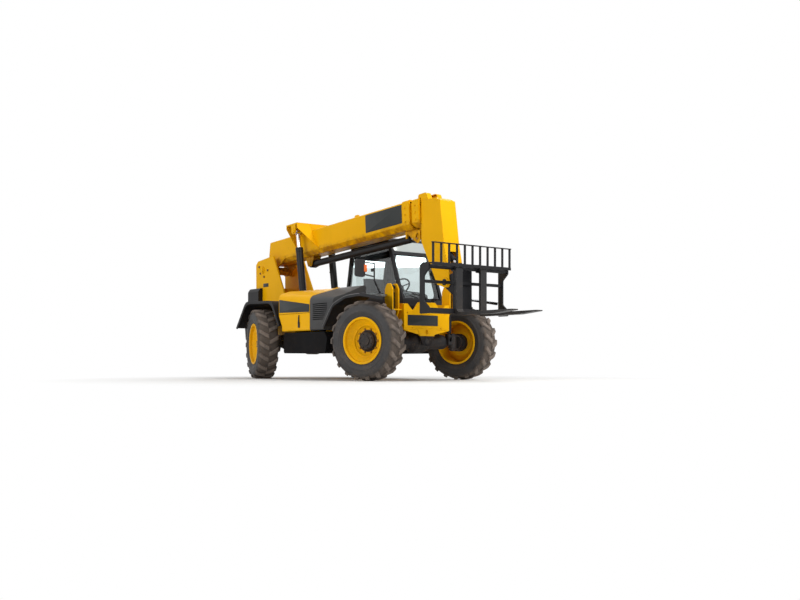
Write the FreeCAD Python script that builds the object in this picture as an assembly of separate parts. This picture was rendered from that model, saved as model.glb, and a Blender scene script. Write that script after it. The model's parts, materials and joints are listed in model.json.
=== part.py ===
"""Telehandler: a rough-terrain handler with a telescopic boom, a side cab and a side engine.

Machine frame while modelling: +X forward, +Y to the machine's left, +Z up, millimetres, with zero on the
ground midway between the axles. The export moves everything along X, so that the part's own origin is on
the ground under the middle of its overall box.
"""

import FreeCAD
import Part

import math
import os

from FreeCAD import Vector

# Running gear
WHEELBASE = 3150.0
FRONT_X = WHEELBASE / 2
REAR_X = -WHEELBASE / 2
TRACK = 2120.0
TYRE_R = 635.0
TYRE_W = 370.0
LUG_H = 30.0
RIM_FLANGE_R = 372.0
RIM_SEAT_R = 348.0
RIM_W = 300.0
RIM_WALL = 12.0
HUB_R = 150.0
HUB_FACE_Y = 68.0
HUB_BACK_Y = -108.0
DISC_Y = -20.0
KINGPIN_OFFSET = 280.0
STEER_REST_DEG = 17.5
AXLE_TUBE_R = 122.0
AXLE_BOSS_R = 70.0
DIFF_R = 185.0
TRUNNION_R = 42.0
RUNNING_GAP = 0.3

# Main frame
FRAME_HALF_W = 475.0
FRAME_PLATE = 25.0
FRAME_TOP_Z = 1120.0
FRAME_BELLY_Z = 560.0
FRAME_ARCH_Z = 815.0
NOSE_X = FRONT_X + 275
NOSE_TOP_Z = 1240.0
PIVOT_X = -2840.0
TAIL_X = PIVOT_X - 240
WEIGHT_BACK_X = TAIL_X - 170
WEIGHT_TOP_Z = 1765.0
WEIGHT_LOW_Z = 720.0

# Boom tower and boom
TOWER_HALF_W = 350.0
TOWER_PLATE = 30.0
PIVOT_Z = 2120.0
PIVOT_PIN_R = 45.0
BOOM_DEG = 3.4
BOOM_REAR_S = -20.0
BOOM_FRONT_S = 4520.0
BOOM_BOTTOM_T = 95.0
BOOM_H = 455.0
BOOM_HALF_W = 200.0
BOOM_WALL = 14.0
BOOM_CHAMFER = 70.0
SLIDE_GAP = 18.0
COLLAR_LEN = 180.0
MID_COLLAR_LEN = 165.0
SECTION_GAP = 60.0
SECTION_REAR_S = 340.0
SADDLE_H = 140.0
POCKET_HALF = 76.0
EXTEND_STROKE = 2000.0

# Gooseneck head, in the boom's own frame (s along the boom, t square to it, from the boom pivot)
HEAD_HALF_W = 160.0
HEAD_PLATE = 14.0
TILT_PIVOT_X = 2500.0
TILT_PIVOT_Z = 1550.0
TILT_PIN_R = 35.0

# Rams
LIFT_Y = FRAME_HALF_W - 115
LIFT_EYE_S = 1355.0
LIFT_EYE_T = 551.0
LIFT_FOOT_X = REAR_X + 370
LIFT_FOOT_Z = 750.0
LIFT_BARREL_R = 66.0
LIFT_ROD_R = 38.0
EXT_BARREL_R = 62.0
EXT_ROD_R = 32.0
EXT_DROP = 130.0
EXT_PIN_R = 26.0
TILT_EYE_X = 2600.0
TILT_EYE_Z = 1800.0
TILT_FOOT_X = 2115.0
TILT_FOOT_Z = 2335.0

# Frame levelling rams beside the nose
LEVEL_X = FRONT_X + 125
LEVEL_Y = FRAME_HALF_W + 125
LEVEL_LOW_Z = 730.0
LEVEL_TOP_Z = 1500.0
LEVEL_SHELF_Z = 1140.0
LEVEL_R = 42.0
LEVEL_PIN_R = 18.0

# Fork carriage
CARRIAGE_HALF_W = 800.0
CARRIAGE_BACK_X = 2680.0
CARRIAGE_TOP_Z = 1780.0
CARRIAGE_LOW_Z = 1030.0
BACKREST_TOP_Z = 2100.0
BACKREST_X = 2950.0
BACKREST_LOW_Z = 1755.0
BACKREST_T = 12.0
BACKREST_BARS = 11
BAR_W = 40.0
FORK_Y = 250.0
FORK_W = 125.0
FORK_T = 50.0
FORK_TOP_Z = 1062.0
FORK_LEN = 1200.0
SHAFT_R = 33.0
SHAFT_X = 2855.0
SHAFT_Z = 1742.0

# Cab
CAB_W = 900.0
CAB_IN_Y = FRAME_HALF_W - 195
CAB_OUT_Y = CAB_IN_Y + CAB_W
CAB_WALL = 45.0
CAB_REAR_X = REAR_X + 725
CAB_FRONT_X = FRONT_X - 715
CAB_NOSE_Z = 1390.0
CAB_FLOOR_Z = 860.0
CAB_SILL_Z = 1390.0
CAB_ROOF_Z = 2500.0
GLASS_T = 6.0

# Engine pod on the right
POD_OUT_Y = FRAME_HALF_W + 695
POD_IN_Y = FRAME_HALF_W + 25
HOOD_FRONT_X = CAB_FRONT_X - 705
MOUNT_X = (CAB_REAR_X + 290, (CAB_REAR_X + CAB_FRONT_X) / 2 - 65, CAB_FRONT_X - 420)
POD_FLOOR_Z = 835.0
SHELL_T = 20.0
TANK_LOW_Z = 455.0

# Overall ends, which set the part's origin
HITCH_X = TAIL_X - 315
HITCH_Z = 860.0
JAW_T = 30.0
FORK_HEEL_X = 2940.0
FORK_TIP_X = FORK_HEEL_X + FORK_LEN
ORIGIN_X = (HITCH_X + FORK_TIP_X) / 2

KINGPIN_Y = TRACK / 2 - KINGPIN_OFFSET
HUB_Z = TYRE_R

PARTS = {}


# Shape helpers


def box(x0, x1, y0, y1, z0, z1):
    return Part.makeBox(x1 - x0, y1 - y0, z1 - z0, Vector(x0, y0, z0))


def cyl(start, end, radius):
    start, end = Vector(*start), Vector(*end)
    return Part.makeCylinder(radius, (end - start).Length, start, end - start)


def ring(start, end, radius, bore):
    start_v, end_v = Vector(*start), Vector(*end)
    over = (end_v - start_v).normalize()
    inner = cyl(tuple(start_v - over), tuple(end_v + over), bore)
    return cyl(start, end, radius).cut(inner)


def joined(shapes):
    shapes = list(shapes)
    return shapes[0].fuse(shapes[1:]).removeSplitter() if len(shapes) > 1 else shapes[0]


def cut_all(shape, tools):
    return shape.cut(list(tools))


def mirrored(shape):
    """The same piece on the other side of the machine."""
    return shape.mirror(Vector(0, 0, 0), Vector(0, 1, 0))


def outline(points, to_3d):
    """A closed wire through (u, v) or (u, v, r) points: a corner with r is rounded by an arc of r."""
    n = len(points)
    edges, starts, ends = [], [], []
    for i, p in enumerate(points):
        u, v = p[0], p[1]
        r = p[2] if len(p) > 2 else 0.0
        before = Vector(points[i - 1][0] - u, points[i - 1][1] - v, 0)
        after = Vector(points[(i + 1) % n][0] - u, points[(i + 1) % n][1] - v, 0)
        half = before.getAngle(after) / 2
        if r <= 0 or abs(half - math.pi / 2) < 1e-4:
            starts.append(Vector(u, v, 0))
            ends.append(Vector(u, v, 0))
            continue
        reach = min(r / math.tan(half), 0.49 * before.Length, 0.49 * after.Length)
        radius = reach * math.tan(half)
        corner = Vector(u, v, 0)
        a = corner + before.normalize() * reach
        b = corner + after.normalize() * reach
        bisector = (before + after).normalize()
        centre = corner + bisector * math.hypot(radius, reach)
        middle = centre - bisector * radius
        edges.append(Part.Arc(to_3d(a), to_3d(middle), to_3d(b)).toShape())
        starts.append(a)
        ends.append(b)
    for i in range(n):
        a, b = ends[i], starts[(i + 1) % n]
        if (b - a).Length > 1e-6:
            edges.append(Part.LineSegment(to_3d(a), to_3d(b)).toShape())
    return Part.Wire(Part.__sortEdges__(edges))


def plate_xz(points, y0, y1):
    """A side plate: an outline of (x, z) points, from y0 to y1."""
    wire = outline(points, lambda p: Vector(p.x, y0, p.y))
    return Part.Face(wire).extrude(Vector(0, y1 - y0, 0))


def plate_yz(points, x0, x1):
    """A cross plate: an outline of (y, z) points, from x0 to x1."""
    wire = outline(points, lambda p: Vector(x0, p.x, p.y))
    return Part.Face(wire).extrude(Vector(x1 - x0, 0, 0))


def plate_xy(points, z0, z1):
    wire = outline(points, lambda p: Vector(p.x, p.y, z0))
    return Part.Face(wire).extrude(Vector(0, 0, z1 - z0))


def turned(points):
    """A ring turned about the Y axis from an outline of (radius, y) points."""
    wire = outline(points, lambda p: Vector(p.x, p.y, 0))
    return Part.Face(wire).revolve(Vector(0, 0, 0), Vector(0, 1, 0), 360)


def ribbon(points, thickness):
    """An open run of (u, v, r) points given a thickness on its left, as a closed outline."""
    inner = []
    for i, p in enumerate(points):
        a = points[max(i - 1, 0)]
        b = points[min(i + 1, len(points) - 1)]
        before = Vector(p[0] - a[0], p[1] - a[1], 0)
        after = Vector(b[0] - p[0], b[1] - p[1], 0)
        before = before if before.Length > 0 else after
        after = after if after.Length > 0 else before
        n0 = Vector(-before.y, before.x, 0).normalize()
        n1 = Vector(-after.y, after.x, 0).normalize()
        n = (n0 + n1).normalize()
        reach = thickness / n.dot(n0)
        inner.append((p[0] + n.x * reach, p[1] + n.y * reach, max(p[2] - thickness, 0)))
    return [tuple(p) for p in points] + inner[::-1]


def on_boom(shape):
    """From the boom's own frame to the machine's."""
    placed = shape.copy()
    placed.rotate(Vector(0, 0, 0), Vector(0, -1, 0), BOOM_DEG)
    placed.translate(Vector(PIVOT_X, 0, PIVOT_Z))
    return placed


def boom_point(s, t):
    """Machine x and z of a point of the boom's own frame."""
    a = math.radians(BOOM_DEG)
    return (
        PIVOT_X + s * math.cos(a) - t * math.sin(a),
        PIVOT_Z + s * math.sin(a) + t * math.cos(a),
    )


def add(name, shape):
    PARTS[name] = shape


# Wheels, knuckles and axles


def facet_ring(profile, segments):
    """A closed ring about the Y axis with flat faces, from (radius, y) points of its corners."""
    faces = []
    n = len(profile)
    spots = []
    for k in range(segments):
        a = 2 * math.pi * k / segments
        spots.append([Vector(r * math.cos(a), y, r * math.sin(a)) for r, y in profile])
    for k in range(segments):
        near, far = spots[k], spots[(k + 1) % segments]
        for i in range(n):
            j = (i + 1) % n
            faces.append(Part.Face(Part.makePolygon([near[i], near[j], far[j], far[i], near[i]])))
    return Part.makeSolid(Part.makeShell(faces))


def tread_lug(top_r, base_r):
    """One slanted lug of the left tread half, drawn in the plane that touches the tread at angle zero."""
    n = len(LUG_OUTLINE)
    rings = []
    for r, out in ((top_r, 0.0), (base_r, LUG_DRAFT)):
        points = []
        for i, (c, y) in enumerate(LUG_OUTLINE):
            a, b = LUG_OUTLINE[i - 1], LUG_OUTLINE[(i + 1) % n]
            n0 = Vector(y - a[1], a[0] - c, 0).normalize()
            n1 = Vector(b[1] - y, c - b[0], 0).normalize()
            m = (n0 + n1).normalize()
            reach = out / m.dot(n0)
            points.append(Vector(r, y + m.y * reach, c + m.x * reach))
        rings.append(points)
    top, base = rings
    faces = [Part.Face(Part.makePolygon(points + points[:1])) for points in rings]
    for i in range(n):
        j = (i + 1) % n
        faces.append(Part.Face(Part.makePolygon([top[i], top[j], base[j], base[i], top[i]])))
    return Part.makeSolid(Part.makeShell(faces))


TREAD_SEGMENTS = 18
LUG_PAIRS = 18
LUG_DRAFT = 12.0
LUG_OUTLINE = [(-70.0, 12.0), (-24.0, 12.0), (72.0, 172.0), (22.0, 172.0)]


def tyre():
    """Tyre with slanted tread lugs on both halves, staggered by half a pitch."""
    half = TYRE_W / 2
    widen = 1 / math.cos(math.pi / TREAD_SEGMENTS)
    bead = (RIM_SEAT_R + RUNNING_GAP) * widen
    side = RIM_W / 2 - RUNNING_GAP
    outer = [
        (bead, side),
        ((RIM_FLANGE_R + 4) * widen, side),
        (TYRE_R - 130, half),
        (TYRE_R - 62, half - 8),
        (TYRE_R - LUG_H, half - 45),
    ]
    profile = outer + [(r, -y) for r, y in outer[::-1]]
    body = facet_ring(profile, TREAD_SEGMENTS)
    reach = max(abs(c) for c, y in LUG_OUTLINE)
    lug = tread_lug(math.sqrt(TYRE_R**2 - reach**2), TYRE_R - 90)
    lugs = []
    for k in range(LUG_PAIRS):
        for start, shape in ((0.0, lug), (0.5, mirrored(lug))):
            piece = shape.copy()
            piece.rotate(Vector(0, 0, 0), Vector(0, 1, 0), (k + start) * 360 / LUG_PAIRS)
            lugs.append(piece)
    treaded = body.fuse(lugs)
    lowest = math.degrees(math.atan2(reach, math.sqrt(TYRE_R**2 - reach**2)))
    treaded.rotate(Vector(0, 0, 0), Vector(0, 1, 0), 90 - lowest)
    return treaded


def rim():
    flange = RIM_W / 2 + 14
    bore = RIM_SEAT_R - RIM_WALL
    barrel = turned(
        [
            (RIM_SEAT_R, -RIM_W / 2),
            (RIM_FLANGE_R, -RIM_W / 2 - 2),
            (RIM_FLANGE_R, -flange, 4),
            (bore + 4, -flange, 6),
            (bore, -flange + 24),
            (bore, flange - 24),
            (bore + 4, flange, 6),
            (RIM_FLANGE_R, flange, 4),
            (RIM_FLANGE_R, RIM_W / 2 + 2),
            (RIM_SEAT_R, RIM_W / 2),
        ]
    )
    dish = turned(
        [
            (HUB_R - 5, DISC_Y),
            (212, DISC_Y, 20),
            (bore + 3, 94),
            (bore + 3, 112),
            (203, DISC_Y + 16, 20),
            (HUB_R - 5, DISC_Y + 16),
        ]
    )
    hub = joined(
        [
            cyl((0, HUB_BACK_Y, 0), (0, HUB_FACE_Y - 22, 0), HUB_R),
            Part.makeCone(HUB_R, HUB_R - 22, 22, Vector(0, HUB_FACE_Y - 22, 0), Vector(0, 1, 0)),
            cyl((0, HUB_FACE_Y - 1, 0), (0, HUB_FACE_Y + 14, 0), 78),
        ]
    )
    return joined([barrel, dish, hub])


def knuckle():
    """Hub carrier with an arm above and below the axle end, turning on the kingpin."""
    k = -KINGPIN_OFFSET
    carrier = cyl((0, k + 84, 0), (0, HUB_BACK_Y - RUNNING_GAP, 0), 122)
    arm_z0, arm_z1 = 98.0 + RUNNING_GAP, 132.0
    arm = [
        (-62, k + 130),
        (62, k + 130),
        (62, k + 10, 50),
        (30, k - 62, 30),
        (-30, k - 62, 30),
        (-62, k + 10, 50),
    ]
    arms = []
    for sign in (1, -1):
        z0, z1 = sorted((sign * arm_z0, sign * arm_z1))
        arms.append(plate_xy(arm, z0, z1))
        cap0, cap1 = sorted((sign * arm_z1, sign * (arm_z1 + 14)))
        arms.append(cyl((0, k, cap0), (0, k, cap1), 46))
        web0, web1 = sorted((sign * 60, sign * arm_z1))
        arms.append(box(-62, 62, k + 84, k + 130, web0, web1))
    lever_line = [
        (-200, k - 20, 18),
        (-200, k + 30, 18),
        (-70, k + 100),
        (-40, k + 100),
        (-40, k + 84),
    ]
    lever = plate_xy(lever_line, -60, -28)
    return joined([carrier, *arms, lever])


def axle(x, steer_side):
    """Beam with a bulged centre, a boss at each kingpin, and the steering ram's barrel on steer_side."""
    end = KINGPIN_Y
    beam = turned(
        [
            (0, -end + 20),
            (62, -end + 20),
            (68, -end + 110),
            (AXLE_TUBE_R, -end + 230, 40),
            (AXLE_TUBE_R, -210, 60),
            (DIFF_R, -110, 60),
            (DIFF_R, 110, 60),
            (AXLE_TUBE_R, 210, 60),
            (AXLE_TUBE_R, end - 230, 40),
            (68, end - 110),
            (62, end - 20),
            (0, end - 20),
        ]
    )
    bosses = [cyl((0, sign * end, -98), (0, sign * end, 98), AXLE_BOSS_R) for sign in (1, -1)]
    ram = cyl((steer_side * 185, -190, 20), (steer_side * 185, 190, 20), 42)
    saddle = box(min(0, steer_side * 185), max(0, steer_side * 185), -150, 150, -20, 60)
    trunnion = cyl((-282, 0, 0), (282, 0, 0), TRUNNION_R)
    shape = joined([beam, *bosses, ram, saddle, trunnion])
    shape.translate(Vector(x, 0, HUB_Z))
    return shape


def ram_clevis():
    """Clevis on the front axle that holds a levelling ram's lower eye."""
    x0, x1 = LEVEL_X - 48, LEVEL_X + 42
    foot = box(FRONT_X + 20, x1, LEVEL_Y - 45, LEVEL_Y + 45, HUB_Z - 40, HUB_Z + 10)
    y0, y1 = LEVEL_Y - 45, LEVEL_Y + 45
    pieces = [foot, cyl((LEVEL_X, y0, LEVEL_LOW_Z), (LEVEL_X, y1, LEVEL_LOW_Z), LEVEL_PIN_R)]
    for near in (-42, 24):
        pieces.append(box(x0, x1, LEVEL_Y + near, LEVEL_Y + near + 18, HUB_Z, LEVEL_LOW_Z + 45))
    clevis = joined(pieces)
    return [clevis, mirrored(clevis)]


def place_wheel(shape, x, left, steer):
    """Puts a left-hand wheel piece at its corner: mirrored for the right, turned about its kingpin."""
    s = shape.copy() if left else mirrored(shape)
    side = 1 if left else -1
    s.translate(Vector(x, side * TRACK / 2, HUB_Z))
    s.rotate(Vector(x, side * KINGPIN_Y, HUB_Z), Vector(0, 0, 1), steer)
    return s


def running_gear():
    pieces = {"tyre": tyre(), "rim": rim(), "knuckle": knuckle()}
    corners = [
        ("front_right", FRONT_X, False, STEER_REST_DEG),
        ("front_left", FRONT_X, True, STEER_REST_DEG),
        ("rear_right", REAR_X, False, -STEER_REST_DEG),
        ("rear_left", REAR_X, True, -STEER_REST_DEG),
    ]
    for corner, x, left, steer in corners:
        for piece, shape in pieces.items():
            add(f"{piece}_{corner}", place_wheel(shape, x, left, steer))
    front = joined([axle(FRONT_X, -1), *ram_clevis()])
    add("axles", Part.makeCompound([front, axle(REAR_X, 1)]))


# Main frame, tower, counterweight


def frame_side():
    inner = FRAME_HALF_W - FRAME_PLATE
    points = [
        (NOSE_X, FRAME_ARCH_Z, 20),
        (NOSE_X, NOSE_TOP_Z, 40),
        (NOSE_X - 300, NOSE_TOP_Z + 20, 60),
        (NOSE_X - 520, FRAME_TOP_Z, 90),
        (TAIL_X + 60, FRAME_TOP_Z, 40),
        (TAIL_X + 60, FRAME_ARCH_Z, 40),
        (REAR_X + 255, FRAME_ARCH_Z, 60),
        (REAR_X + 345, 640, 60),
        (REAR_X + 475, FRAME_BELLY_Z, 60),
        (FRONT_X - 560, FRAME_BELLY_Z, 80),
        (FRONT_X - 360, FRAME_ARCH_Z, 80),
    ]
    return plate_xz(points, inner, FRAME_HALF_W)


def ram_lugs():
    """Lugs on each side of the nose, which hold the levelling rams' upper pins."""
    x0, x1 = LEVEL_X - 100, LEVEL_X + 100
    low = LEVEL_SHELF_Z - 10
    crown = [
        (x0, LEVEL_TOP_Z - 30, 30),
        (LEVEL_X - 45, LEVEL_TOP_Z + 60, 50),
        (LEVEL_X + 45, LEVEL_TOP_Z + 60, 50),
        (x1, LEVEL_TOP_Z - 30, 30),
    ]
    inner = plate_xz([(x0, 1000)] + crown + [(x1, low, 20), (x1 - 60, 1000)], LEVEL_Y - 70, LEVEL_Y - 50)
    outer = plate_xz(crown + [(x1, low), (x0, low)], LEVEL_Y + 50, LEVEL_Y + 70)
    return inner, outer


def chassis_frame():
    side = frame_side()
    inner = FRAME_HALF_W - FRAME_PLATE
    cross = inner + 5
    nose_face = [
        (-FRAME_HALF_W, FRAME_ARCH_Z, 25),
        (-FRAME_HALF_W, NOSE_TOP_Z, 20),
        (-400, NOSE_TOP_Z, 20),
        (-290, NOSE_TOP_Z - 115, 30),
        (-180, NOSE_TOP_Z + 30, 30),
        (180, NOSE_TOP_Z + 30, 30),
        (290, NOSE_TOP_Z - 115, 30),
        (400, NOSE_TOP_Z, 20),
        (FRAME_HALF_W, NOSE_TOP_Z, 20),
        (FRAME_HALF_W, FRAME_ARCH_Z, 25),
        (0, FRAME_ARCH_Z - 105, 60),
    ]
    pieces = [
        side,
        mirrored(side),
        plate_yz(nose_face, NOSE_X - 20, NOSE_X),
        box(FRONT_X - 560, FRONT_X - 520, -cross, cross, FRAME_BELLY_Z, FRAME_TOP_Z - 40),
        box(REAR_X + 520, REAR_X + 560, -cross, cross, FRAME_BELLY_Z, FRAME_TOP_Z - 40),
        box(REAR_X + 560, FRONT_X - 560, -cross, cross, FRAME_BELLY_Z, FRAME_BELLY_Z + 14),
        box(NOSE_X - 520, NOSE_X, -cross, cross, FRAME_ARCH_Z + 10, FRAME_ARCH_Z + 24),
        box(-400, -360, -cross, cross, FRAME_BELLY_Z, FRAME_TOP_Z - 120),
    ]
    for x in (FRONT_X, REAR_X):
        for sign in (1, -1):
            hanger = [
                (-200, FRAME_ARCH_Z + 24),
                (-82, HUB_Z - 72, 70),
                (82, HUB_Z - 72, 70),
                (200, FRAME_ARCH_Z + 24),
            ]
            plate = plate_yz(hanger, x + sign * 265 - 15, x + sign * 265 + 15)
            pieces.append(plate.cut(cyl((x - 400, 0, HUB_Z), (x + 400, 0, HUB_Z), TRUNNION_R + RUNNING_GAP)))
        deck = box(x - 280, x + 280, -cross, cross, FRAME_ARCH_Z + 10, FRAME_ARCH_Z + 34)
        for sign in (1, -1):
            y0, y1 = sorted((sign * (LIFT_Y - 100), sign * (cross + 10)))
            deck = deck.cut(box(REAR_X + 170, REAR_X + 300, y0, y1, FRAME_ARCH_Z, FRAME_ARCH_Z + 50))
        pieces.append(deck)
    tab = [(NOSE_X - 5, 835), (NOSE_X + 40, 815, 25), (NOSE_X + 40, 765, 25), (NOSE_X - 5, 745)]
    tow_eye = cyl((NOSE_X + 17, -40, 790), (NOSE_X + 17, 40, 790), 12)
    pieces.append(plate_xz(tab, -14, 14).cut(tow_eye))
    lug_in, lug_out = ram_lugs()
    shelf_y = (FRAME_HALF_W - 5, LEVEL_Y + 70)
    shelf_x = (LEVEL_X - 100, LEVEL_X + 100)
    shelf = box(*shelf_x, *shelf_y, LEVEL_SHELF_Z - 10, LEVEL_SHELF_Z + 10)
    shelf = shelf.cut(cyl((LEVEL_X, LEVEL_Y, 1100), (LEVEL_X, LEVEL_Y, 1200), LEVEL_R + 8))
    for piece in (lug_in, lug_out, shelf):
        pieces += [piece, mirrored(piece)]
    lug = [
        (LIFT_FOOT_X + 205, FRAME_BELLY_Z + 5),
        (LIFT_FOOT_X + 110, FRAME_BELLY_Z + 5),
        (LIFT_FOOT_X - 80, LIFT_FOOT_Z - 50, 40),
        (LIFT_FOOT_X - 80, LIFT_FOOT_Z + 60, 60),
        (LIFT_FOOT_X + 75, LIFT_FOOT_Z + 80, 60),
        (LIFT_FOOT_X + 205, 640),
    ]
    lift_lug = plate_xz(lug, LIFT_Y - 92, LIFT_Y - 72)
    pieces += [lift_lug, mirrored(lift_lug)]
    pin_y = (LIFT_Y - 92, FRAME_HALF_W + 12)
    foot_pin = cyl(*[(LIFT_FOOT_X, y, LIFT_FOOT_Z) for y in pin_y], 32)
    pieces += [foot_pin, mirrored(foot_pin)]
    return joined(pieces)


def boom_tower():
    inner = TOWER_HALF_W - TOWER_PLATE
    side_points = [
        (TAIL_X, FRAME_ARCH_Z + 34, 20),
        (TAIL_X - 20, PIVOT_Z + 120, 60),
        (TAIL_X + 60, PIVOT_Z + 185, 60),
        (TAIL_X + 640, PIVOT_Z + 250, 40),
        (TAIL_X + 1020, 1690, 120),
        (TAIL_X + 1250, FRAME_TOP_Z - 60, 60),
        (TAIL_X + 1250, FRAME_ARCH_Z + 34, 20),
    ]
    side = plate_xz(side_points, inner, TOWER_HALF_W)
    boss = joined(
        [
            cyl((PIVOT_X, inner - 25, PIVOT_Z), (PIVOT_X, inner + 5, PIVOT_Z), 100),
            cyl((PIVOT_X, inner + 2, PIVOT_Z), (PIVOT_X, TOWER_HALF_W + 16, PIVOT_Z), 72),
        ]
    )
    cross = FRAME_HALF_W - FRAME_PLATE
    pieces = [side, mirrored(side), boss, mirrored(boss)]
    pieces.append(box(TAIL_X + 5, TAIL_X + 30, -inner - 5, inner + 5, 900, 1800))
    for x in (TAIL_X + 400, TAIL_X + 1180):
        pieces.append(box(x, x + 25, -cross, cross, FRAME_ARCH_Z + 40, FRAME_TOP_Z + 60))
    floor_z = FRAME_ARCH_Z + 40
    pieces.append(box(TAIL_X + 5, TAIL_X + 1220, -inner - 5, inner + 5, floor_z, floor_z + 20))
    end = TOWER_HALF_W + 30
    pieces.append(cyl((PIVOT_X, -end, PIVOT_Z), (PIVOT_X, end, PIVOT_Z), PIVOT_PIN_R))
    return joined(pieces)


def counterweight():
    """Cast weight behind and beside the tower's foot."""
    half = [
        (400, WEIGHT_TOP_Z, 50),
        (450, WEIGHT_TOP_Z - 70, 50),
        (450, 1520, 40),
        (FRAME_HALF_W + 45, 1400, 60),
        (FRAME_HALF_W + 45, 1000, 80),
        (FRAME_HALF_W + 25, WEIGHT_LOW_Z, 60),
    ]
    profile = half + [(-p[0], *p[1:]) for p in half[::-1]]
    slab = plate_yz(profile, WEIGHT_BACK_X, TAIL_X + 240)
    side = FRAME_HALF_W + RUNNING_GAP
    slot = box(TAIL_X - 22, TAIL_X + 300, -side, side, 600, FRAME_TOP_Z + 10)
    side = TOWER_HALF_W + RUNNING_GAP
    tower_slot = box(TAIL_X - 20 - RUNNING_GAP, TAIL_X + 300, -side, side, 600, 1900)
    return cut_all(slab, [slot, tower_slot])


def hitch():
    """Towing clevis on the counterweight, with a hole through both jaws for a drawbar pin."""
    root = WEIGHT_BACK_X + 10
    jaw = [
        (root, -90),
        (root, 90),
        (HITCH_X + 30, 70, 30),
        (HITCH_X, 40, 25),
        (HITCH_X, -40, 25),
        (HITCH_X + 30, -70, 30),
    ]
    low, high = HITCH_Z - 60, HITCH_Z + 60
    clevis = plate_xy(jaw, low, high)
    gap = box(HITCH_X - 10, WEIGHT_BACK_X - 8, -120, 120, low + JAW_T, high - JAW_T)
    hole = cyl((HITCH_X + 35, 0, low - 20), (HITCH_X + 35, 0, high + 20), 16)
    return cut_all(clevis, [gap, hole])


# Boom


def section_tube(s0, s1, inset, wall):
    """A boom section: a box tube, rounded above and chamfered below, inset from the outer one."""
    corner = 30.0

    def profile(depth, r):
        low, high = BOOM_BOTTOM_T + depth, BOOM_BOTTOM_T + BOOM_H - depth
        y = BOOM_HALF_W - depth
        chamfer = BOOM_CHAMFER - (2 - math.sqrt(2)) * depth
        return [
            (-y + chamfer, low),
            (-y, low + chamfer),
            (-y, high, r),
            (y, high, r),
            (y, low + chamfer),
            (y - chamfer, low),
        ]

    outer = plate_yz(profile(inset, corner), s0, s1)
    inner = plate_yz(profile(inset + wall, corner - wall), s0 - 10, s1 + 10)
    return outer.cut(inner)


def wear_pads(s0, s1, wall_in, section_out):
    """Pads on the four inner walls at a section's mouth, a running gap from the inner section."""
    pads = []
    low, high = BOOM_BOTTOM_T + section_out, BOOM_BOTTOM_T + BOOM_H - section_out
    y0, y1 = BOOM_HALF_W - section_out + RUNNING_GAP, BOOM_HALF_W - wall_in + 2
    for sign in (1, -1):
        a, b = sorted((sign * y0, sign * y1))
        pads.append(box(s0, s1, a, b, low + 60, high - 60))
    pads.append(box(s0, s1, -90, 90, high + RUNNING_GAP, BOOM_BOTTOM_T + BOOM_H - wall_in + 2))
    pads.append(box(s0, s1, -90, 90, BOOM_BOTTOM_T + wall_in - 2, low - RUNNING_GAP))
    return pads


def boom_outer():
    tube = section_tube(BOOM_REAR_S, BOOM_FRONT_S, 0, BOOM_WALL)
    t_top = BOOM_BOTTOM_T + BOOM_H
    collar = section_tube(BOOM_FRONT_S - COLLAR_LEN, BOOM_FRONT_S, -14, 14)
    inner_y = TOWER_HALF_W - TOWER_PLATE - 25 - 3
    seam = BOOM_BOTTOM_T + BOOM_CHAMFER
    lug = [
        (BOOM_REAR_S + 25, seam + 40),
        (-95, 30, 60),
        (-70, -95, 80),
        (90, -95, 80),
        (620, seam - 10),
        (620, seam + 40),
    ]
    lugs = []
    for sign in (1, -1):
        y0, y1 = sorted((sign * (BOOM_HALF_W - 26), sign * (BOOM_HALF_W + 4)))
        lugs.append(plate_xz(lug, y0, y1))
    pivot_tube = cyl((0, -inner_y, 0), (0, inner_y, 0), 78)
    slope = [
        (BOOM_REAR_S - 10, BOOM_BOTTOM_T - 20),
        (BOOM_REAR_S - 10, t_top + 20),
        (BOOM_REAR_S + 100, t_top + 20),
    ]
    rear_slope = plate_xz(slope, -300, 300)
    back_y = BOOM_HALF_W - 5
    back_s = BOOM_REAR_S + 110
    back_plate = box(back_s, back_s + 14, -back_y, back_y, seam, t_top - 20)
    pads = wear_pads(BOOM_FRONT_S - 120, BOOM_FRONT_S - 10, BOOM_WALL, BOOM_WALL + SLIDE_GAP)
    fittings = [*lugs, pivot_tube, back_plate, *lift_saddle(), *barrel_hangers(), *pads]
    body = joined([tube.cut(rear_slope), collar, *fittings])
    bore = cyl((0, -400, 0), (0, 400, 0), PIVOT_PIN_R + RUNNING_GAP)
    return body.cut(bore)


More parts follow.
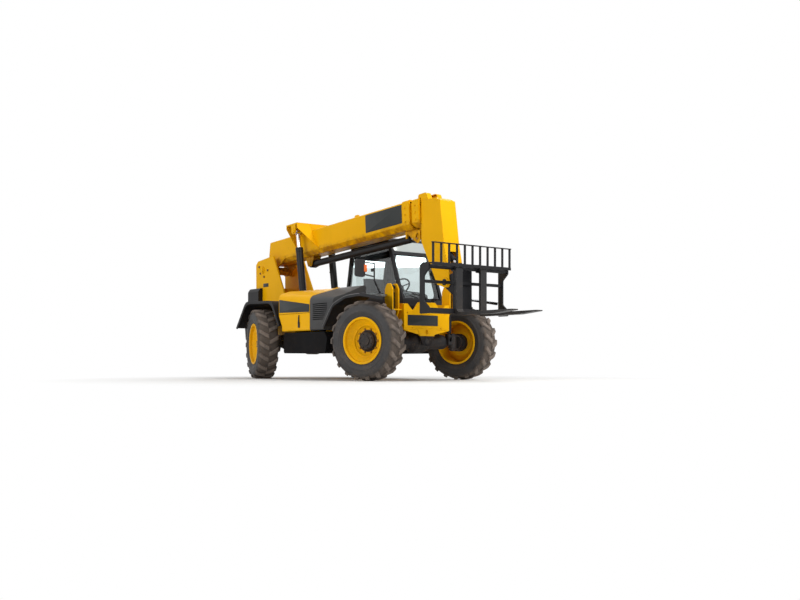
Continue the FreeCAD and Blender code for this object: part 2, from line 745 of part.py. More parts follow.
def lift_saddle():
    """Beam across the boom's top with a pocket each side, in which the lift rams' rod eyes are pinned."""
    t_top = BOOM_BOTTOM_T + BOOM_H
    s0, s1 = LIFT_EYE_S - 240, LIFT_EYE_S + 130
    crown = t_top + SADDLE_H
    pieces = [
        box(s0, s1, -LIFT_Y - POCKET_HALF - 24, LIFT_Y + POCKET_HALF + 24, crown - 30, crown),
        box(s0, s1, -BOOM_HALF_W, BOOM_HALF_W, t_top - 6, crown - 25),
    ]
    lug = [
        (LIFT_EYE_S - 80, crown - 5),
        (LIFT_EYE_S - 64, LIFT_EYE_T - 62, 52),
        (LIFT_EYE_S + 64, LIFT_EYE_T - 62, 52),
        (LIFT_EYE_S + 80, crown - 5),
    ]
    for sign in (1, -1):
        outer_lug = (LIFT_Y + POCKET_HALF, LIFT_Y + POCKET_HALF + 24)
        inner_lug = (LIFT_Y - POCKET_HALF - 24, LIFT_Y - POCKET_HALF)
        for near, far in (outer_lug, inner_lug):
            y0, y1 = sorted((sign * near, sign * far))
            pieces.append(plate_xz(lug, y0, y1))
        head_y = sorted((sign * (LIFT_Y + POCKET_HALF + 20), sign * (LIFT_Y + POCKET_HALF + 40)))
        pieces.append(cyl((LIFT_EYE_S, head_y[0], LIFT_EYE_T), (LIFT_EYE_S, head_y[1], LIFT_EYE_T), 44))
        low_t = BOOM_BOTTOM_T + BOOM_CHAMFER + 5
        outer = LIFT_Y + POCKET_HALF + 24
        rear = [
            (sign * (BOOM_HALF_W - 4), low_t),
            (sign * outer, t_top + 60),
            (sign * outer, crown - 1),
            (sign * (BOOM_HALF_W - 4), crown - 1),
        ]
        pieces.append(plate_yz(rear, s0, s0 + 18))
        pieces.append(front_gusset(sign, t_top, crown))
    return pieces


def front_gusset(sign, t_top, crown):
    """Folded web from the saddle's outer front corner down to the boom's side."""
    y_in, y_out = sign * (BOOM_HALF_W - 2), sign * (LIFT_Y + POCKET_HALF + 20)
    s1 = LIFT_EYE_S + 128
    a = Vector(s1, y_in, crown - 2)
    b = Vector(s1, y_out, crown - 2)
    c = Vector(s1 + 12, y_out, t_top + 40)
    d = Vector(s1 + 330, y_in, BOOM_BOTTOM_T + BOOM_CHAMFER + 10)
    shift = Vector(-16, 0, 0)
    first = Part.Face(Part.makePolygon([a, b, c, a])).extrude(shift)
    second = Part.Face(Part.makePolygon([a, c, d, a])).extrude(shift)
    return first.fuse(second)


BARREL_S0 = 1300.0
BARREL_S1 = 4270.0
ROD_EYE_S = 4556.0
BRACKET_Y = 70.0
BRACKET_T = 14.0


def barrel_hangers():
    """Ears of the extension ram's rear pin, and the triangular bracket that holds the barrel's front."""
    t = BOOM_BOTTOM_T - EXT_DROP
    far = BRACKET_Y + BRACKET_T
    ear = [
        (BARREL_S0 - 130, BOOM_BOTTOM_T + 4),
        (BARREL_S0 - 62, t - 52, 50),
        (BARREL_S0 + 62, t - 52, 50),
        (BARREL_S0 + 150, BOOM_BOTTOM_T + 4),
    ]
    bracket = [
        (BOOM_FRONT_S - 300, BOOM_BOTTOM_T + 2),
        (BOOM_FRONT_S + 40, t - 125, 45),
        (BOOM_FRONT_S + 100, t - 60, 40),
        (BOOM_FRONT_S + 105, BOOM_BOTTOM_T - 40, 20),
        (BOOM_FRONT_S, BOOM_BOTTOM_T - 8),
        (BOOM_FRONT_S, BOOM_BOTTOM_T + 2),
    ]
    window = cyl((ROD_EYE_S, -200, t), (ROD_EYE_S, 200, t), 50)
    plates = []
    for sign in (1, -1):
        y0, y1 = sorted((sign * BRACKET_Y, sign * far))
        plates.append(plate_xz(ear, y0, y1))
        plates.append(plate_xz(bracket, y0, y1).cut(window))
    clamp = box(BARREL_S1 - 30, BARREL_S1 + 6, -far + 2, far - 2, t + 5, BOOM_BOTTOM_T + 2)
    clamp = clamp.cut(cyl((BARREL_S1 - 60, 0, t), (BARREL_S1 + 60, 0, t), EXT_BARREL_R + RUNNING_GAP))
    pin = cyl((BARREL_S0, -far - 12, t), (BARREL_S0, far + 12, t), EXT_PIN_R)
    return [*plates, clamp, pin]


def extension_barrel():
    t = BOOM_BOTTOM_T - EXT_DROP
    barrel = cyl((BARREL_S0 + 55, 0, t), (BARREL_S1, 0, t), EXT_BARREL_R)
    gland = cyl((BARREL_S1 - 60, 0, t), (BARREL_S1 + 30, 0, t), EXT_BARREL_R - 0.1)
    knuckle_eye = cyl((BARREL_S0, -58, t), (BARREL_S0, 58, t), EXT_BARREL_R + 8)
    neck = cyl((BARREL_S0, 0, t), (BARREL_S0 + 60, 0, t), 50)
    bore = cyl((BARREL_S0 + 110, 0, t), (BARREL_S1 + 60, 0, t), EXT_ROD_R + 1)
    hole = cyl((BARREL_S0, -90, t), (BARREL_S0, 90, t), EXT_PIN_R + RUNNING_GAP)
    return cut_all(joined([barrel, gland, neck, knuckle_eye]), [bore, hole])


def extension_rod():
    t = BOOM_BOTTOM_T - EXT_DROP
    rod = cyl((BARREL_S0 + 130, 0, t), (ROD_EYE_S - 30, 0, t), EXT_ROD_R)
    eye_boss = cyl((ROD_EYE_S, -35, t), (ROD_EYE_S, 35, t), 50)
    bore = cyl((ROD_EYE_S, -90, t), (ROD_EYE_S, 90, t), EXT_PIN_R + RUNNING_GAP)
    return joined([rod, eye_boss]).cut(bore)


def boom_mid():
    s0 = BOOM_REAR_S + SECTION_REAR_S
    s1 = BOOM_FRONT_S + SECTION_GAP + MID_COLLAR_LEN
    inset = BOOM_WALL + SLIDE_GAP
    tube = section_tube(s0, s1, inset, 12)
    collar = section_tube(BOOM_FRONT_S + SECTION_GAP, s1, 0, inset + 2)
    t = BOOM_BOTTOM_T - EXT_DROP
    foot_s = BOOM_FRONT_S + SECTION_GAP + 6
    ear = [
        (foot_s, BOOM_BOTTOM_T + 8),
        (foot_s, BOOM_BOTTOM_T - 30),
        (ROD_EYE_S - 48, t + 20, 40),
        (ROD_EYE_S - 30, t - 60, 50),
        (ROD_EYE_S + 60, t - 45, 50),
        (s1, BOOM_BOTTOM_T - 20, 20),
        (s1, BOOM_BOTTOM_T + 8),
    ]
    ears = []
    for sign in (1, -1):
        y0, y1 = sorted((sign * 42, sign * 60))
        ears.append(plate_xz(ear, y0, y1))
    pin = cyl((ROD_EYE_S, -64, t), (ROD_EYE_S, 64, t), EXT_PIN_R)
    pads = wear_pads(s1 - 130, s1 - 10, inset + 12, 2 * inset)
    return joined([tube, collar, *ears, pin, *pads])


HEAD = [
    (4775, BOOM_BOTTOM_T + BOOM_H - 45, 20),
    (5130, BOOM_BOTTOM_T + BOOM_H - 63, 40),
    (5238, BOOM_BOTTOM_T + BOOM_H - 118, 30),
    (5296, -262, 60),
    (5420, -1003, 70),
    (5096, -902, 50),
    (4745, -165, 60),
    (4757, 120, 0),
]
HEAD_MOUTH_T = -395.0
HEAD_STRIP_T = -669.0
RAM_SLOT = 80.0


def head_front_s(t):
    """Place along the boom of the head's front edge, between its knee and its toe."""
    (s0, t0), (s1, t1) = HEAD[3][:2], HEAD[4][:2]
    return s0 + (t - t0) * (s1 - s0) / (t1 - t0)


def head_hump():
    """Rounded guard of the chain anchors, over the middle section's collar."""
    low = BOOM_BOTTOM_T + BOOM_H + 8
    points = [
        (4764, HEAD[0][1] - 10),
        (4764, low),
        (4692, low, 10),
        (4700, low + 58, 45),
        (4905, low + 62, 60),
        (4945, HEAD[0][1] - 10),
    ]
    guard = plate_xz(points, 62, HEAD_HALF_W - 6)
    groove_line = [(4725, low + 20), (4725, low + 45, 20), (4890, low + 45, 30), (4900, low + 20)]
    groove = plate_xz(groove_line, 62, 120)
    return guard.cut(groove)


def boom_inner():
    inset = 2 * (BOOM_WALL + SLIDE_GAP)
    s0 = BOOM_REAR_S + SECTION_REAR_S + 150
    tube = section_tube(s0, HEAD[0][0] + 60, inset, 12)
    side = plate_xz(HEAD, HEAD_HALF_W - HEAD_PLATE, HEAD_HALF_W)
    y = HEAD_HALF_W - 5
    mouth = (head_front_s(HEAD_MOUTH_T), HEAD_MOUTH_T, 0)
    front_line = [mouth] + [p[:2] + (0,) for p in HEAD[3:0:-1]]
    front = plate_xz(ribbon(front_line, 14), -y, y)
    strip_line = [(head_front_s(HEAD_STRIP_T), HEAD_STRIP_T, 0), mouth[:2] + (0,)]
    strip = plate_xz(ribbon(strip_line, 14), RAM_SLOT, y)
    top_line = [p[:2] + (0,) for p in HEAD[1::-1]]
    top = plate_xz(ribbon(top_line, 14), -y, y)
    back_line = [HEAD[0][:2] + (0,), (4757, 120, 0), (4745, -165, 0), (4884, -460, 0)]
    back = plate_xz(ribbon(back_line, 14), -y, y)
    hump = head_hump()
    pairs = [side, strip, hump]
    return joined([tube, front, top, back, *pairs, *[mirrored(piece) for piece in pairs]])


def boom():
    add("boom_outer", on_boom(boom_outer()))
    add("boom_mid", on_boom(boom_mid()))
    add("extension_barrel", on_boom(extension_barrel()))
    add("extension_rod", on_boom(extension_rod()))
    inner = on_boom(boom_inner())
    boss = cyl(
        (TILT_PIVOT_X, HEAD_HALF_W - HEAD_PLATE, TILT_PIVOT_Z),
        (TILT_PIVOT_X, HEAD_HALF_W + 16, TILT_PIVOT_Z),
        80,
    )
    bore = TILT_PIN_R + RUNNING_GAP
    hole = cyl((TILT_PIVOT_X, -300, TILT_PIVOT_Z), (TILT_PIVOT_X, 300, TILT_PIVOT_Z), bore)
    y = HEAD_HALF_W - HEAD_PLATE + 2
    foot_pin = cyl((TILT_FOOT_X, -y, TILT_FOOT_Z), (TILT_FOOT_X, y, TILT_FOOT_Z), 28)
    add("boom_inner", joined([joined([inner, boss, mirrored(boss)]).cut(hole), foot_pin]))


# Cab on the left


CAB_PROFILE = [
    (CAB_REAR_X + 95, CAB_FLOOR_Z, 15),
    (CAB_REAR_X + 95, 935, 30),
    (CAB_REAR_X, 1110, 40),
    (CAB_REAR_X, 1650, 80),
    (CAB_REAR_X + 115, 2240, 80),
    (CAB_REAR_X + 185, CAB_ROOF_Z, 90),
    (CAB_FRONT_X - 440, CAB_ROOF_Z, 110),
    (CAB_FRONT_X - 315, 2240, 120),
    (CAB_FRONT_X, CAB_NOSE_Z, 50),
    (CAB_FRONT_X, 1265, 40),
    (CAB_FRONT_X - 290, 905, 30),
    (CAB_FRONT_X - 290, CAB_FLOOR_Z, 15),
]
DOOR = [
    (CAB_REAR_X + 260, 900, 60),
    (CAB_REAR_X + 260, 2240, 90),
    (CAB_REAR_X + 305, 2400, 60),
    (CAB_FRONT_X - 460, 2400, 60),
    (CAB_FRONT_X - 390, 2240, 60),
    (CAB_FRONT_X - 125, 1480, 60),
    (CAB_FRONT_X - 125, 1230, 60),
    (CAB_FRONT_X - 380, 900, 60),
]
DOOR_GAP = 7.0
DOOR_T = 45.0
DOOR_HINGE_X = CAB_REAR_X + 238


def grown(points, by):
    """An outline moved outward by a distance (inward when negative), walked clockwise in x and z."""
    result = []
    n = len(points)
    for i, p in enumerate(points):
        a, b = points[i - 1], points[(i + 1) % n]
        n0 = Vector(-(p[1] - a[1]), p[0] - a[0], 0).normalize()
        n1 = Vector(-(b[1] - p[1]), b[0] - p[0], 0).normalize()
        m = (n0 + n1).normalize()
        reach = by / m.dot(n0)
        r = p[2] if len(p) > 2 else 0
        result.append((p[0] + m.x * reach, p[1] + m.y * reach, max(r + by, 0) if r else 0))
    return result


DOOR_WINDOWS = [
    [
        (CAB_REAR_X + 330, 1440, 40),
        (CAB_REAR_X + 330, 2230, 60),
        (CAB_REAR_X + 370, 2335, 50),
        (CAB_FRONT_X - 495, 2335, 50),
        (CAB_FRONT_X - 452, 2220, 60),
        (CAB_FRONT_X - 200, 1500, 60),
        (CAB_FRONT_X - 220, 1440, 30),
    ],
    [
        (CAB_REAR_X + 350, 990, 50),
        (CAB_REAR_X + 350, 1370, 40),
        (CAB_FRONT_X - 240, 1370, 40),
        (CAB_FRONT_X - 240, 1260, 50),
        (CAB_FRONT_X - 445, 990, 60),
    ],
]
SIDE_WINDOW = [
    (CAB_REAR_X + 60, 1480, 50),
    (CAB_REAR_X + 60, 1660, 60),
    (CAB_REAR_X + 170, 2220, 60),
    (CAB_REAR_X + 220, 2400, 60),
    (CAB_FRONT_X - 480, 2400, 60),
    (CAB_FRONT_X - 390, 2220, 60),
    (CAB_FRONT_X - 125, 1480, 50),
]


def windscreen_cut(over):
    """Slab along the raked front: it cuts the pane's opening or, with over 0, makes the pane."""
    a, b = Vector(CAB_FRONT_X - 315, 0, 2240), Vector(CAB_FRONT_X, 0, CAB_NOSE_Z)
    along = (b - a).normalize()
    out = Vector(-along.z, 0, along.x)
    out = out if out.x > 0 else out * -1
    t0, t1 = (-CAB_WALL - 20, 30) if over else (-20 - GLASS_T, -20)
    length = (b - a).Length
    low = a + along * (length - 25)
    high = a - along * (-55)
    pts = [high + out * t0, high + out * t1, low + out * t1, low + out * t0]
    y0, y1 = CAB_IN_Y + 32, CAB_OUT_Y - 50
    wire = Part.makePolygon([Vector(p.x, y0, p.z) for p in pts + pts[:1]])
    return Part.Face(wire).extrude(Vector(0, y1 - y0, 0))


ROOF_PANE_X = (CAB_REAR_X + 370, CAB_FRONT_X - 560)
REAR_PANE_X = (CAB_REAR_X - 50, CAB_REAR_X + 250)


def cab_openings():
    y0, y1 = CAB_IN_Y, CAB_OUT_Y
    side = plate_xz(SIDE_WINDOW, y0 - 10, y0 + CAB_WALL + 10)
    roof = box(*ROOF_PANE_X, y0 + 110, y1 - 110, CAB_ROOF_Z - CAB_WALL - 20, CAB_ROOF_Z + 20)
    rear = box(*REAR_PANE_X, y0 + 80, y1 - 80, 1700, 2200)
    door = plate_xz(grown(DOOR, DOOR_GAP), y1 - DOOR_T - 20, y1 + 20)
    return [side, roof, rear, door, windscreen_cut(True)]


def cab_frame():
    shell = plate_xz(CAB_PROFILE, CAB_IN_Y, CAB_OUT_Y)
    inner = plate_xz(grown(CAB_PROFILE, -CAB_WALL), CAB_IN_Y + CAB_WALL, CAB_OUT_Y - CAB_WALL)
    rail_top = FRAME_TOP_Z + 15
    rail = FRAME_HALF_W + 5
    x0, x1 = CAB_REAR_X - 150, CAB_FRONT_X + 140
    shell = shell.cut(box(x0, x1, CAB_IN_Y - 80, rail, 800, rail_top))
    inner = inner.cut(box(x0, x1, CAB_IN_Y - 80, rail + CAB_WALL, 800, rail_top + CAB_WALL))
    return cut_all(shell.cut(inner), cab_openings())


def cab_mount():
    """Outriggers that carry the cab and the engine housing from the main frame's sides."""
    pieces = []
    for x in MOUNT_X:
        for top in (CAB_FLOOR_Z, POD_FLOOR_Z):
            end = POD_OUT_Y - 140
            arm = [(FRAME_HALF_W, 640, 20), (FRAME_HALF_W, top), (end, top), (end, top - 60)]
            plate = plate_yz(arm, x, x + 30)
            pieces.append(plate if top == CAB_FLOOR_Z else mirrored(plate))
    return pieces


def cab_glass():
    y0 = CAB_IN_Y
    middle = y0 + CAB_WALL / 2
    side = plate_xz(SIDE_WINDOW, middle - GLASS_T / 2, middle + GLASS_T / 2)
    roof = box(*ROOF_PANE_X, y0 + 110, CAB_OUT_Y - 110, CAB_ROOF_Z - 25, CAB_ROOF_Z - 25 + GLASS_T)
    wall = plate_xz(CAB_PROFILE, y0 + 80, CAB_OUT_Y - 80)
    outer = wall.cut(plate_xz(grown(CAB_PROFILE, -18 - GLASS_T), y0, CAB_OUT_Y))
    skin = wall.cut(plate_xz(grown(CAB_PROFILE, -18), y0, CAB_OUT_Y))
    rear = outer.cut(skin).common(box(*REAR_PANE_X, y0, CAB_OUT_Y, 1700, 2200))
    return Part.makeCompound([side, roof, rear, windscreen_cut(False)])


def cab_door():
    y1 = CAB_OUT_Y
    leaf = plate_xz(DOOR, y1 - DOOR_T, y1)
    windows = [plate_xz(w, y1 - DOOR_T - 10, y1 + 10) for w in DOOR_WINDOWS]
    leaf = cut_all(leaf, windows)
    hinges = []
    for z in (1130, 2080):
        hinges.append(cyl((DOOR_HINGE_X, y1 + 20, z - 50), (DOOR_HINGE_X, y1 + 20, z + 50), 16))
        hinges.append(box(DOOR_HINGE_X + 26, DOOR_HINGE_X + 72, y1 - 2, y1 + 8, z - 45, z + 45))
        hinges.append(box(DOOR_HINGE_X, DOOR_HINGE_X + 72, y1 + 3, y1 + 8, z - 45, z + 45))
        hinges.append(box(DOOR_HINGE_X, DOOR_HINGE_X + 26, y1 + 4, y1 + 34, z - 45, z + 45))
    x = CAB_FRONT_X - 430
    bar = cyl((x, y1 + 36, 1240), (x, y1 + 36, 1400), 12)
    feet = [cyl((x, y1 - 2, z), (x, y1 + 36, z), 9) for z in (1250, 1390)]
    return joined([leaf, *hinges, bar, *feet])


def door_hinge_posts():
    """Fixed half of the door's hinges, on the cab's rear door pillar."""
    y1 = CAB_OUT_Y
    pieces = []
    for z in (1130, 2080):
        for z0 in (z - 84 - RUNNING_GAP, z + 50 + RUNNING_GAP):
            pieces.append(cyl((DOOR_HINGE_X, y1 + 20, z0), (DOOR_HINGE_X, y1 + 20, z0 + 34), 16))
            pieces.append(box(DOOR_HINGE_X - 45, DOOR_HINGE_X, y1 - 2, y1 + 34, z0, z0 + 34))
    return pieces


def door_glass():
    middle = CAB_OUT_Y - DOOR_T / 2
    panes = [plate_xz(w, middle - GLASS_T / 2, middle + GLASS_T / 2) for w in DOOR_WINDOWS]
    return Part.makeCompound(panes)


SEAT_X = CAB_REAR_X + 520
SEAT_Y = (CAB_IN_Y + CAB_OUT_Y) / 2
SEAT_Z = 1330.0


def cab_interior():
    floor = CAB_FLOOR_Z + CAB_WALL
    base = box(SEAT_X - 180, SEAT_X + 180, SEAT_Y - 180, SEAT_Y + 180, floor, SEAT_Z - 90)
    base = base.cut(box(SEAT_X - 200, SEAT_X + 200, SEAT_Y - 150, SEAT_Y + 150, floor + 60, SEAT_Z - 150))
    pan = box(SEAT_X - 240, SEAT_X + 240, SEAT_Y - 230, SEAT_Y + 230, SEAT_Z - 90, SEAT_Z - 70)
    back_line = [
        (SEAT_X - 240, SEAT_Z - 85),
        (SEAT_X - 330, SEAT_Z + 520),
        (SEAT_X - 312, SEAT_Z + 520),
        (SEAT_X - 215, SEAT_Z - 85),
    ]
    back = plate_xz(back_line, SEAT_Y - 200, SEAT_Y + 200)
    add("seat_base", joined([base, pan, back]))
    cushion_line = [
        (SEAT_X - 205, SEAT_Z - 70),
        (SEAT_X - 205, SEAT_Z + 20, 30),
        (SEAT_X + 150, SEAT_Z + 30, 60),
        (SEAT_X + 240, SEAT_Z + 5, 30),
        (SEAT_X + 240, SEAT_Z - 70),
    ]
    cushion = plate_xz(cushion_line, SEAT_Y - 230, SEAT_Y + 230)
    rest_line = [
        (SEAT_X - 234.2, SEAT_Z + 37),
        (SEAT_X - 313.3, SEAT_Z + 530),
        (SEAT_X - 240, SEAT_Z + 560, 40),
        (SEAT_X - 130, SEAT_Z + 45, 40),
    ]
    rest = plate_xz(rest_line, SEAT_Y - 225, SEAT_Y + 225)
    add("seat_cushions", Part.makeCompound([cushion, rest]))
    x = CAB_FRONT_X - 530
    dash_line = [
        (x, floor),
        (x + 30, 1230, 30),
        (x, 1500, 30),
        (x + 90, 1560, 40),
        (x + 230, 1500, 30),
        (x + 310, 1255),
        (x + 170, floor + 50),
    ]
    dash = plate_xz(dash_line, FRAME_HALF_W + CAB_WALL + 12, CAB_OUT_Y - CAB_WALL - 70)
    column = cyl((x + 70, SEAT_Y, 1480), (x - 115, SEAT_Y, 1640), 34)
    centre = Vector(x - 130, SEAT_Y, 1653)
    wheel = Part.makeTorus(185, 14, centre, Vector(-0.756, 0, 0.654))
    hub = cyl((x - 100, SEAT_Y, 1627), (x - 136, SEAT_Y, 1658), 50)
    spokes = []
    axis = Vector(-0.756, 0, 0.654)
    side = Vector(0, 1, 0)
    up = axis.cross(side)
    for angle in (90, 210, 330):
        d = side * math.cos(math.radians(angle)) + up * math.sin(math.radians(angle))
        spokes.append(cyl(tuple(centre), tuple(centre + d * 180), 10))
    steering = joined([column, hub])
    for spoke in spokes:
        steering = steering.fuse(spoke)
    add("dashboard", dash.fuse(steering.fuse(wheel)))


# Engine pod on the right


def pod_wire(x, shoulder, inset, low=POD_FLOOR_Z):
    out, top_in = POD_OUT_Y - inset, POD_IN_Y + inset
    points = [
        (-top_in, low + inset),
        (-top_in, 1600 - inset, 30),
        (230 - POD_OUT_Y, shoulder + 62 - inset, 200),
        (-out, shoulder - 10 - inset * 0.6, 110 - inset),
        (-out, low + inset, 30),
    ]
    return outline(points, lambda p: Vector(x, p.x, p.y))


def pod_solid(inset):
    """The whole pod's cross-section, run a little past both its ends."""
    ends = (CAB_REAR_X - 80, CAB_FRONT_X + 70)
    return Part.makeLoft([pod_wire(x, shoulder_z(x), inset) for x in ends], True, True)


POD_SIDE = [
    (CAB_REAR_X + 105, POD_FLOOR_Z - 10),
    (CAB_REAR_X + 105, 930, 30),
    (CAB_REAR_X, 1115, 40),
    (CAB_REAR_X, 1700, 0),
    (HOOD_FRONT_X, 1700, 0),
    (HOOD_FRONT_X, POD_FLOOR_Z - 10),
]
HOOD_LOW_Z = 1140.0


def shoulder_z(x):
    """Height of the pod's shoulder, which falls towards the front."""
    return 1500 - (x - CAB_REAR_X) * 90 / 1105


def pod_shell():
    outer = pod_solid(0).common(plate_xz(POD_SIDE, -1300, -400))
    inner = pod_solid(SHELL_T).common(plate_xz(grown(POD_SIDE, -SHELL_T), -1300, -400))
    return outer.cut(inner)


def pod():
    shell = pod_shell()
    x0, x1 = CAB_REAR_X - 50, HOOD_FRONT_X + 50
    lid_zone = box(x0, x1, -1300, -POD_IN_Y - SHELL_T - 4, HOOD_LOW_Z, 1700)
    base_zone = box(x0, x1, -1300, -400, 700, HOOD_LOW_Z - 6)
    wall_zone = box(x0, x1, -POD_IN_Y - SHELL_T, -400, 700, 1560)
    feet = []
    for x in MOUNT_X[:2]:
        feet.append(box(x - 25, x + 55, -POD_OUT_Y + 200, -POD_IN_Y - 30, POD_FLOOR_Z - 2, POD_FLOOR_Z + 4))
    housing = joined([shell.common(base_zone), shell.common(wall_zone)])
    hinge_y, hinge_z = -POD_IN_Y - 8, 1590.0
    fixed, moving = [], []
    for x in (CAB_REAR_X + 200, HOOD_FRONT_X - 155):
        fixed.append(cyl((x, hinge_y, hinge_z), (x + 40, hinge_y, hinge_z), 11))
        fixed.append(box(x, x + 40, -POD_IN_Y - 14, -POD_IN_Y - 2, 1540, hinge_z))
        moving.append(cyl((x + 40 + RUNNING_GAP, hinge_y, hinge_z), (x + 81, hinge_y, hinge_z), 11))
        moving.append(box(x + 41, x + 81, -POD_IN_Y - 60, hinge_y, hinge_z - 6, hinge_z + 6))
    lid = shell.common(lid_zone)
    add("engine_housing", joined([housing, *fixed]))
    add("engine_hood", joined([lid, *moving]))
    y0, y1 = -POD_OUT_Y + 80, -POD_IN_Y - 90
    sump = box(CAB_REAR_X + 160, HOOD_FRONT_X - 65, y0, y1, POD_FLOOR_Z + SHELL_T, 1110)
    top = box(CAB_REAR_X + 250, HOOD_FRONT_X - 115, y0 + 110, y1 - 50, 1100, 1370)
    block = joined([sump, top])
    add("engine_block", block)


COWL = [
    (HOOD_FRONT_X + 6, POD_FLOOR_Z, 10),
    (HOOD_FRONT_X + 6, 1600, 0),
    (CAB_FRONT_X - 15, 1600, 0),
    (CAB_FRONT_X - 15, 1245, 40),
    (CAB_FRONT_X - 285, 905, 30),
    (CAB_FRONT_X - 285, POD_FLOOR_Z, 10),
]


def radiator_cowl():
    outer = pod_solid(0).common(plate_xz(COWL, -1300, -400))
    inner = pod_solid(SHELL_T).common(plate_xz(grown(COWL, -SHELL_T), -1300, -400))
    shell = outer.cut(inner)
    slots = []
    for k in range(9):
        z = 1010 + 32 * k
        reach = CAB_FRONT_X - 340 + min((z - 905) * 0.79, 200)
        slots.append(box(HOOD_FRONT_X + 90, reach - 40, -POD_OUT_Y - 5, -POD_OUT_Y + SHELL_T + 5, z, z + 14))
    return shell.cut(slots)


def side_tank():
    points = [
        (CAB_REAR_X + 130, TANK_LOW_Z, 40),
        (CAB_REAR_X + 130, POD_FLOOR_Z - 25, 30),
        (CAB_FRONT_X - 300, POD_FLOOR_Z - 25, 30),
        (CAB_FRONT_X - 210, 700, 60),
        (CAB_FRONT_X - 260, TANK_LOW_Z, 60),
    ]
    shape = plate_xz(points, FRAME_HALF_W, POD_OUT_Y - 20)
    arms = [box(x - 4, x + 34, FRAME_HALF_W - 2, POD_OUT_Y - 130, 630, 840) for x in MOUNT_X]
    return cut_all(shape, arms)


# Mudguards


REAR_GUARD = [
    (REAR_X - 790, 945, 0),
    (REAR_X - 425, 1425, 200),
    (REAR_X + 515, 1400, 180),
    (REAR_X + 775, 945, 0),
]
FRONT_GUARD = [
    (FRONT_X - 985, 900, 0),
    (FRONT_X - 705, 1250, 100),
    (FRONT_X - 335, 1370, 120),
    (FRONT_X + 65, 1390, 120),
    (FRONT_X + 680, 1295, 0),
]
GUARD_OUT_Y = 1200.0
GUARD_T = 12.0


def mudguard(line, inner_y, struts):
    """Folded sheet over a wheel with a lip on its outer edge, on struts from the main frame."""
    band = plate_xz(ribbon(line, -GUARD_T), inner_y, GUARD_OUT_Y)
    lip = plate_xz(ribbon(line, -48), GUARD_OUT_Y - 12, GUARD_OUT_Y)
    posts = []
    for x, z0, z1 in struts:
        posts.append(box(x, x + 60, FRAME_HALF_W, FRAME_HALF_W + 16, z0, z1))
        posts.append(box(x, x + 60, FRAME_HALF_W, inner_y + 60, z1 - 16, z1))
    return joined([band, lip, *posts])


def mudguards():
    rear = mudguard(REAR_GUARD, FRAME_HALF_W + 45, [(REAR_X - 375, 1060, 1418), (REAR_X + 455, 1060, 1395)])
    front = mudguard(FRONT_GUARD, 690, [(FRONT_X - 195, 1150, 1371)])
    y = GUARD_OUT_Y - 12
    corner = [(FRONT_X + 65, 650), (FRONT_X + 695, y), (FRONT_X + 725, y), (FRONT_X + 725, 650)]
    front = front.cut(plate_xy(corner, 1100, 1500))
    add("mudguards", Part.makeCompound([rear, mirrored(rear), front, mirrored(front)]))


# Rams


def towards(start, end):
    return (Vector(*end) - Vector(*start)).normalize()


def along(start, end, a, b, radius):
    """Round bar on the line from start to end, between distances a and b from start."""
    d = towards(start, end)
    p = Vector(*start)
    return cyl(tuple(p + d * a), tuple(p + d * b), radius)


def eye(centre, half_w, radius, bore):
    x, y, z = centre
    return ring((x, y - half_w, z), (x, y + half_w, z), radius, bore)


def lift_ram(y):
    foot = (LIFT_FOOT_X, y, LIFT_FOOT_Z)
    ex, ez = boom_point(LIFT_EYE_S, LIFT_EYE_T)
    top = (ex, y, ez)
    length = (Vector(*top) - Vector(*foot)).Length
    barrel = joined(
        [
            along(foot, top, 45, length - 330, LIFT_BARREL_R),
            along(foot, top, length - 400, length - 320, LIFT_BARREL_R + 5),
            cyl((foot[0], y - 45, foot[2]), (foot[0], y + 45, foot[2]), 62),
        ]
    )
    barrel = barrel.cut(along(foot, top, 110, length, LIFT_ROD_R + 1))
    barrel = barrel.cut(cyl((foot[0], y - 200, foot[2]), (foot[0], y + 200, foot[2]), 32 + RUNNING_GAP))
    pin_half = POCKET_HALF - 0.5
    rod = joined(
        [
            along(foot, top, 340, length - 40, LIFT_ROD_R),
            cyl((top[0], y - 40, top[2]), (top[0], y + 40, top[2]), 58),
            cyl((top[0], y - pin_half, top[2]), (top[0], y + pin_half, top[2]), 30),
        ]
    )
    return barrel, rod


def lift_rams():
    for side, y in (("right", -LIFT_Y), ("left", LIFT_Y)):
        barrel, rod = lift_ram(y)
        add(f"lift_barrel_{side}", barrel)
        add(f"lift_rod_{side}", rod)


def tilt_ram():
    foot, top = (TILT_FOOT_X, 0, TILT_FOOT_Z), (TILT_EYE_X, 0, TILT_EYE_Z)
    length = (Vector(*top) - Vector(*foot)).Length
    barrel = joined(
        [
            along(foot, top, 35, length - 150, 46),
            along(foot, top, length - 200, length - 130, 50),
            cyl((foot[0], -40, foot[2]), (foot[0], 40, foot[2]), 52),
        ]
    )
    barrel = barrel.cut(along(foot, top, 90, length, 29))
    barrel = barrel.cut(cyl((foot[0], -200, foot[2]), (foot[0], 200, foot[2]), 28 + RUNNING_GAP))
    rod = joined(
        [
            along(foot, top, 160, length - 35, 28),
            cyl((top[0], -38, top[2]), (top[0], 38, top[2]), 50),
            cyl((top[0], -43.5, top[2]), (top[0], 43.5, top[2]), 26),
        ]
    )
    add("tilt_barrel", barrel)
    add("tilt_rod", rod)


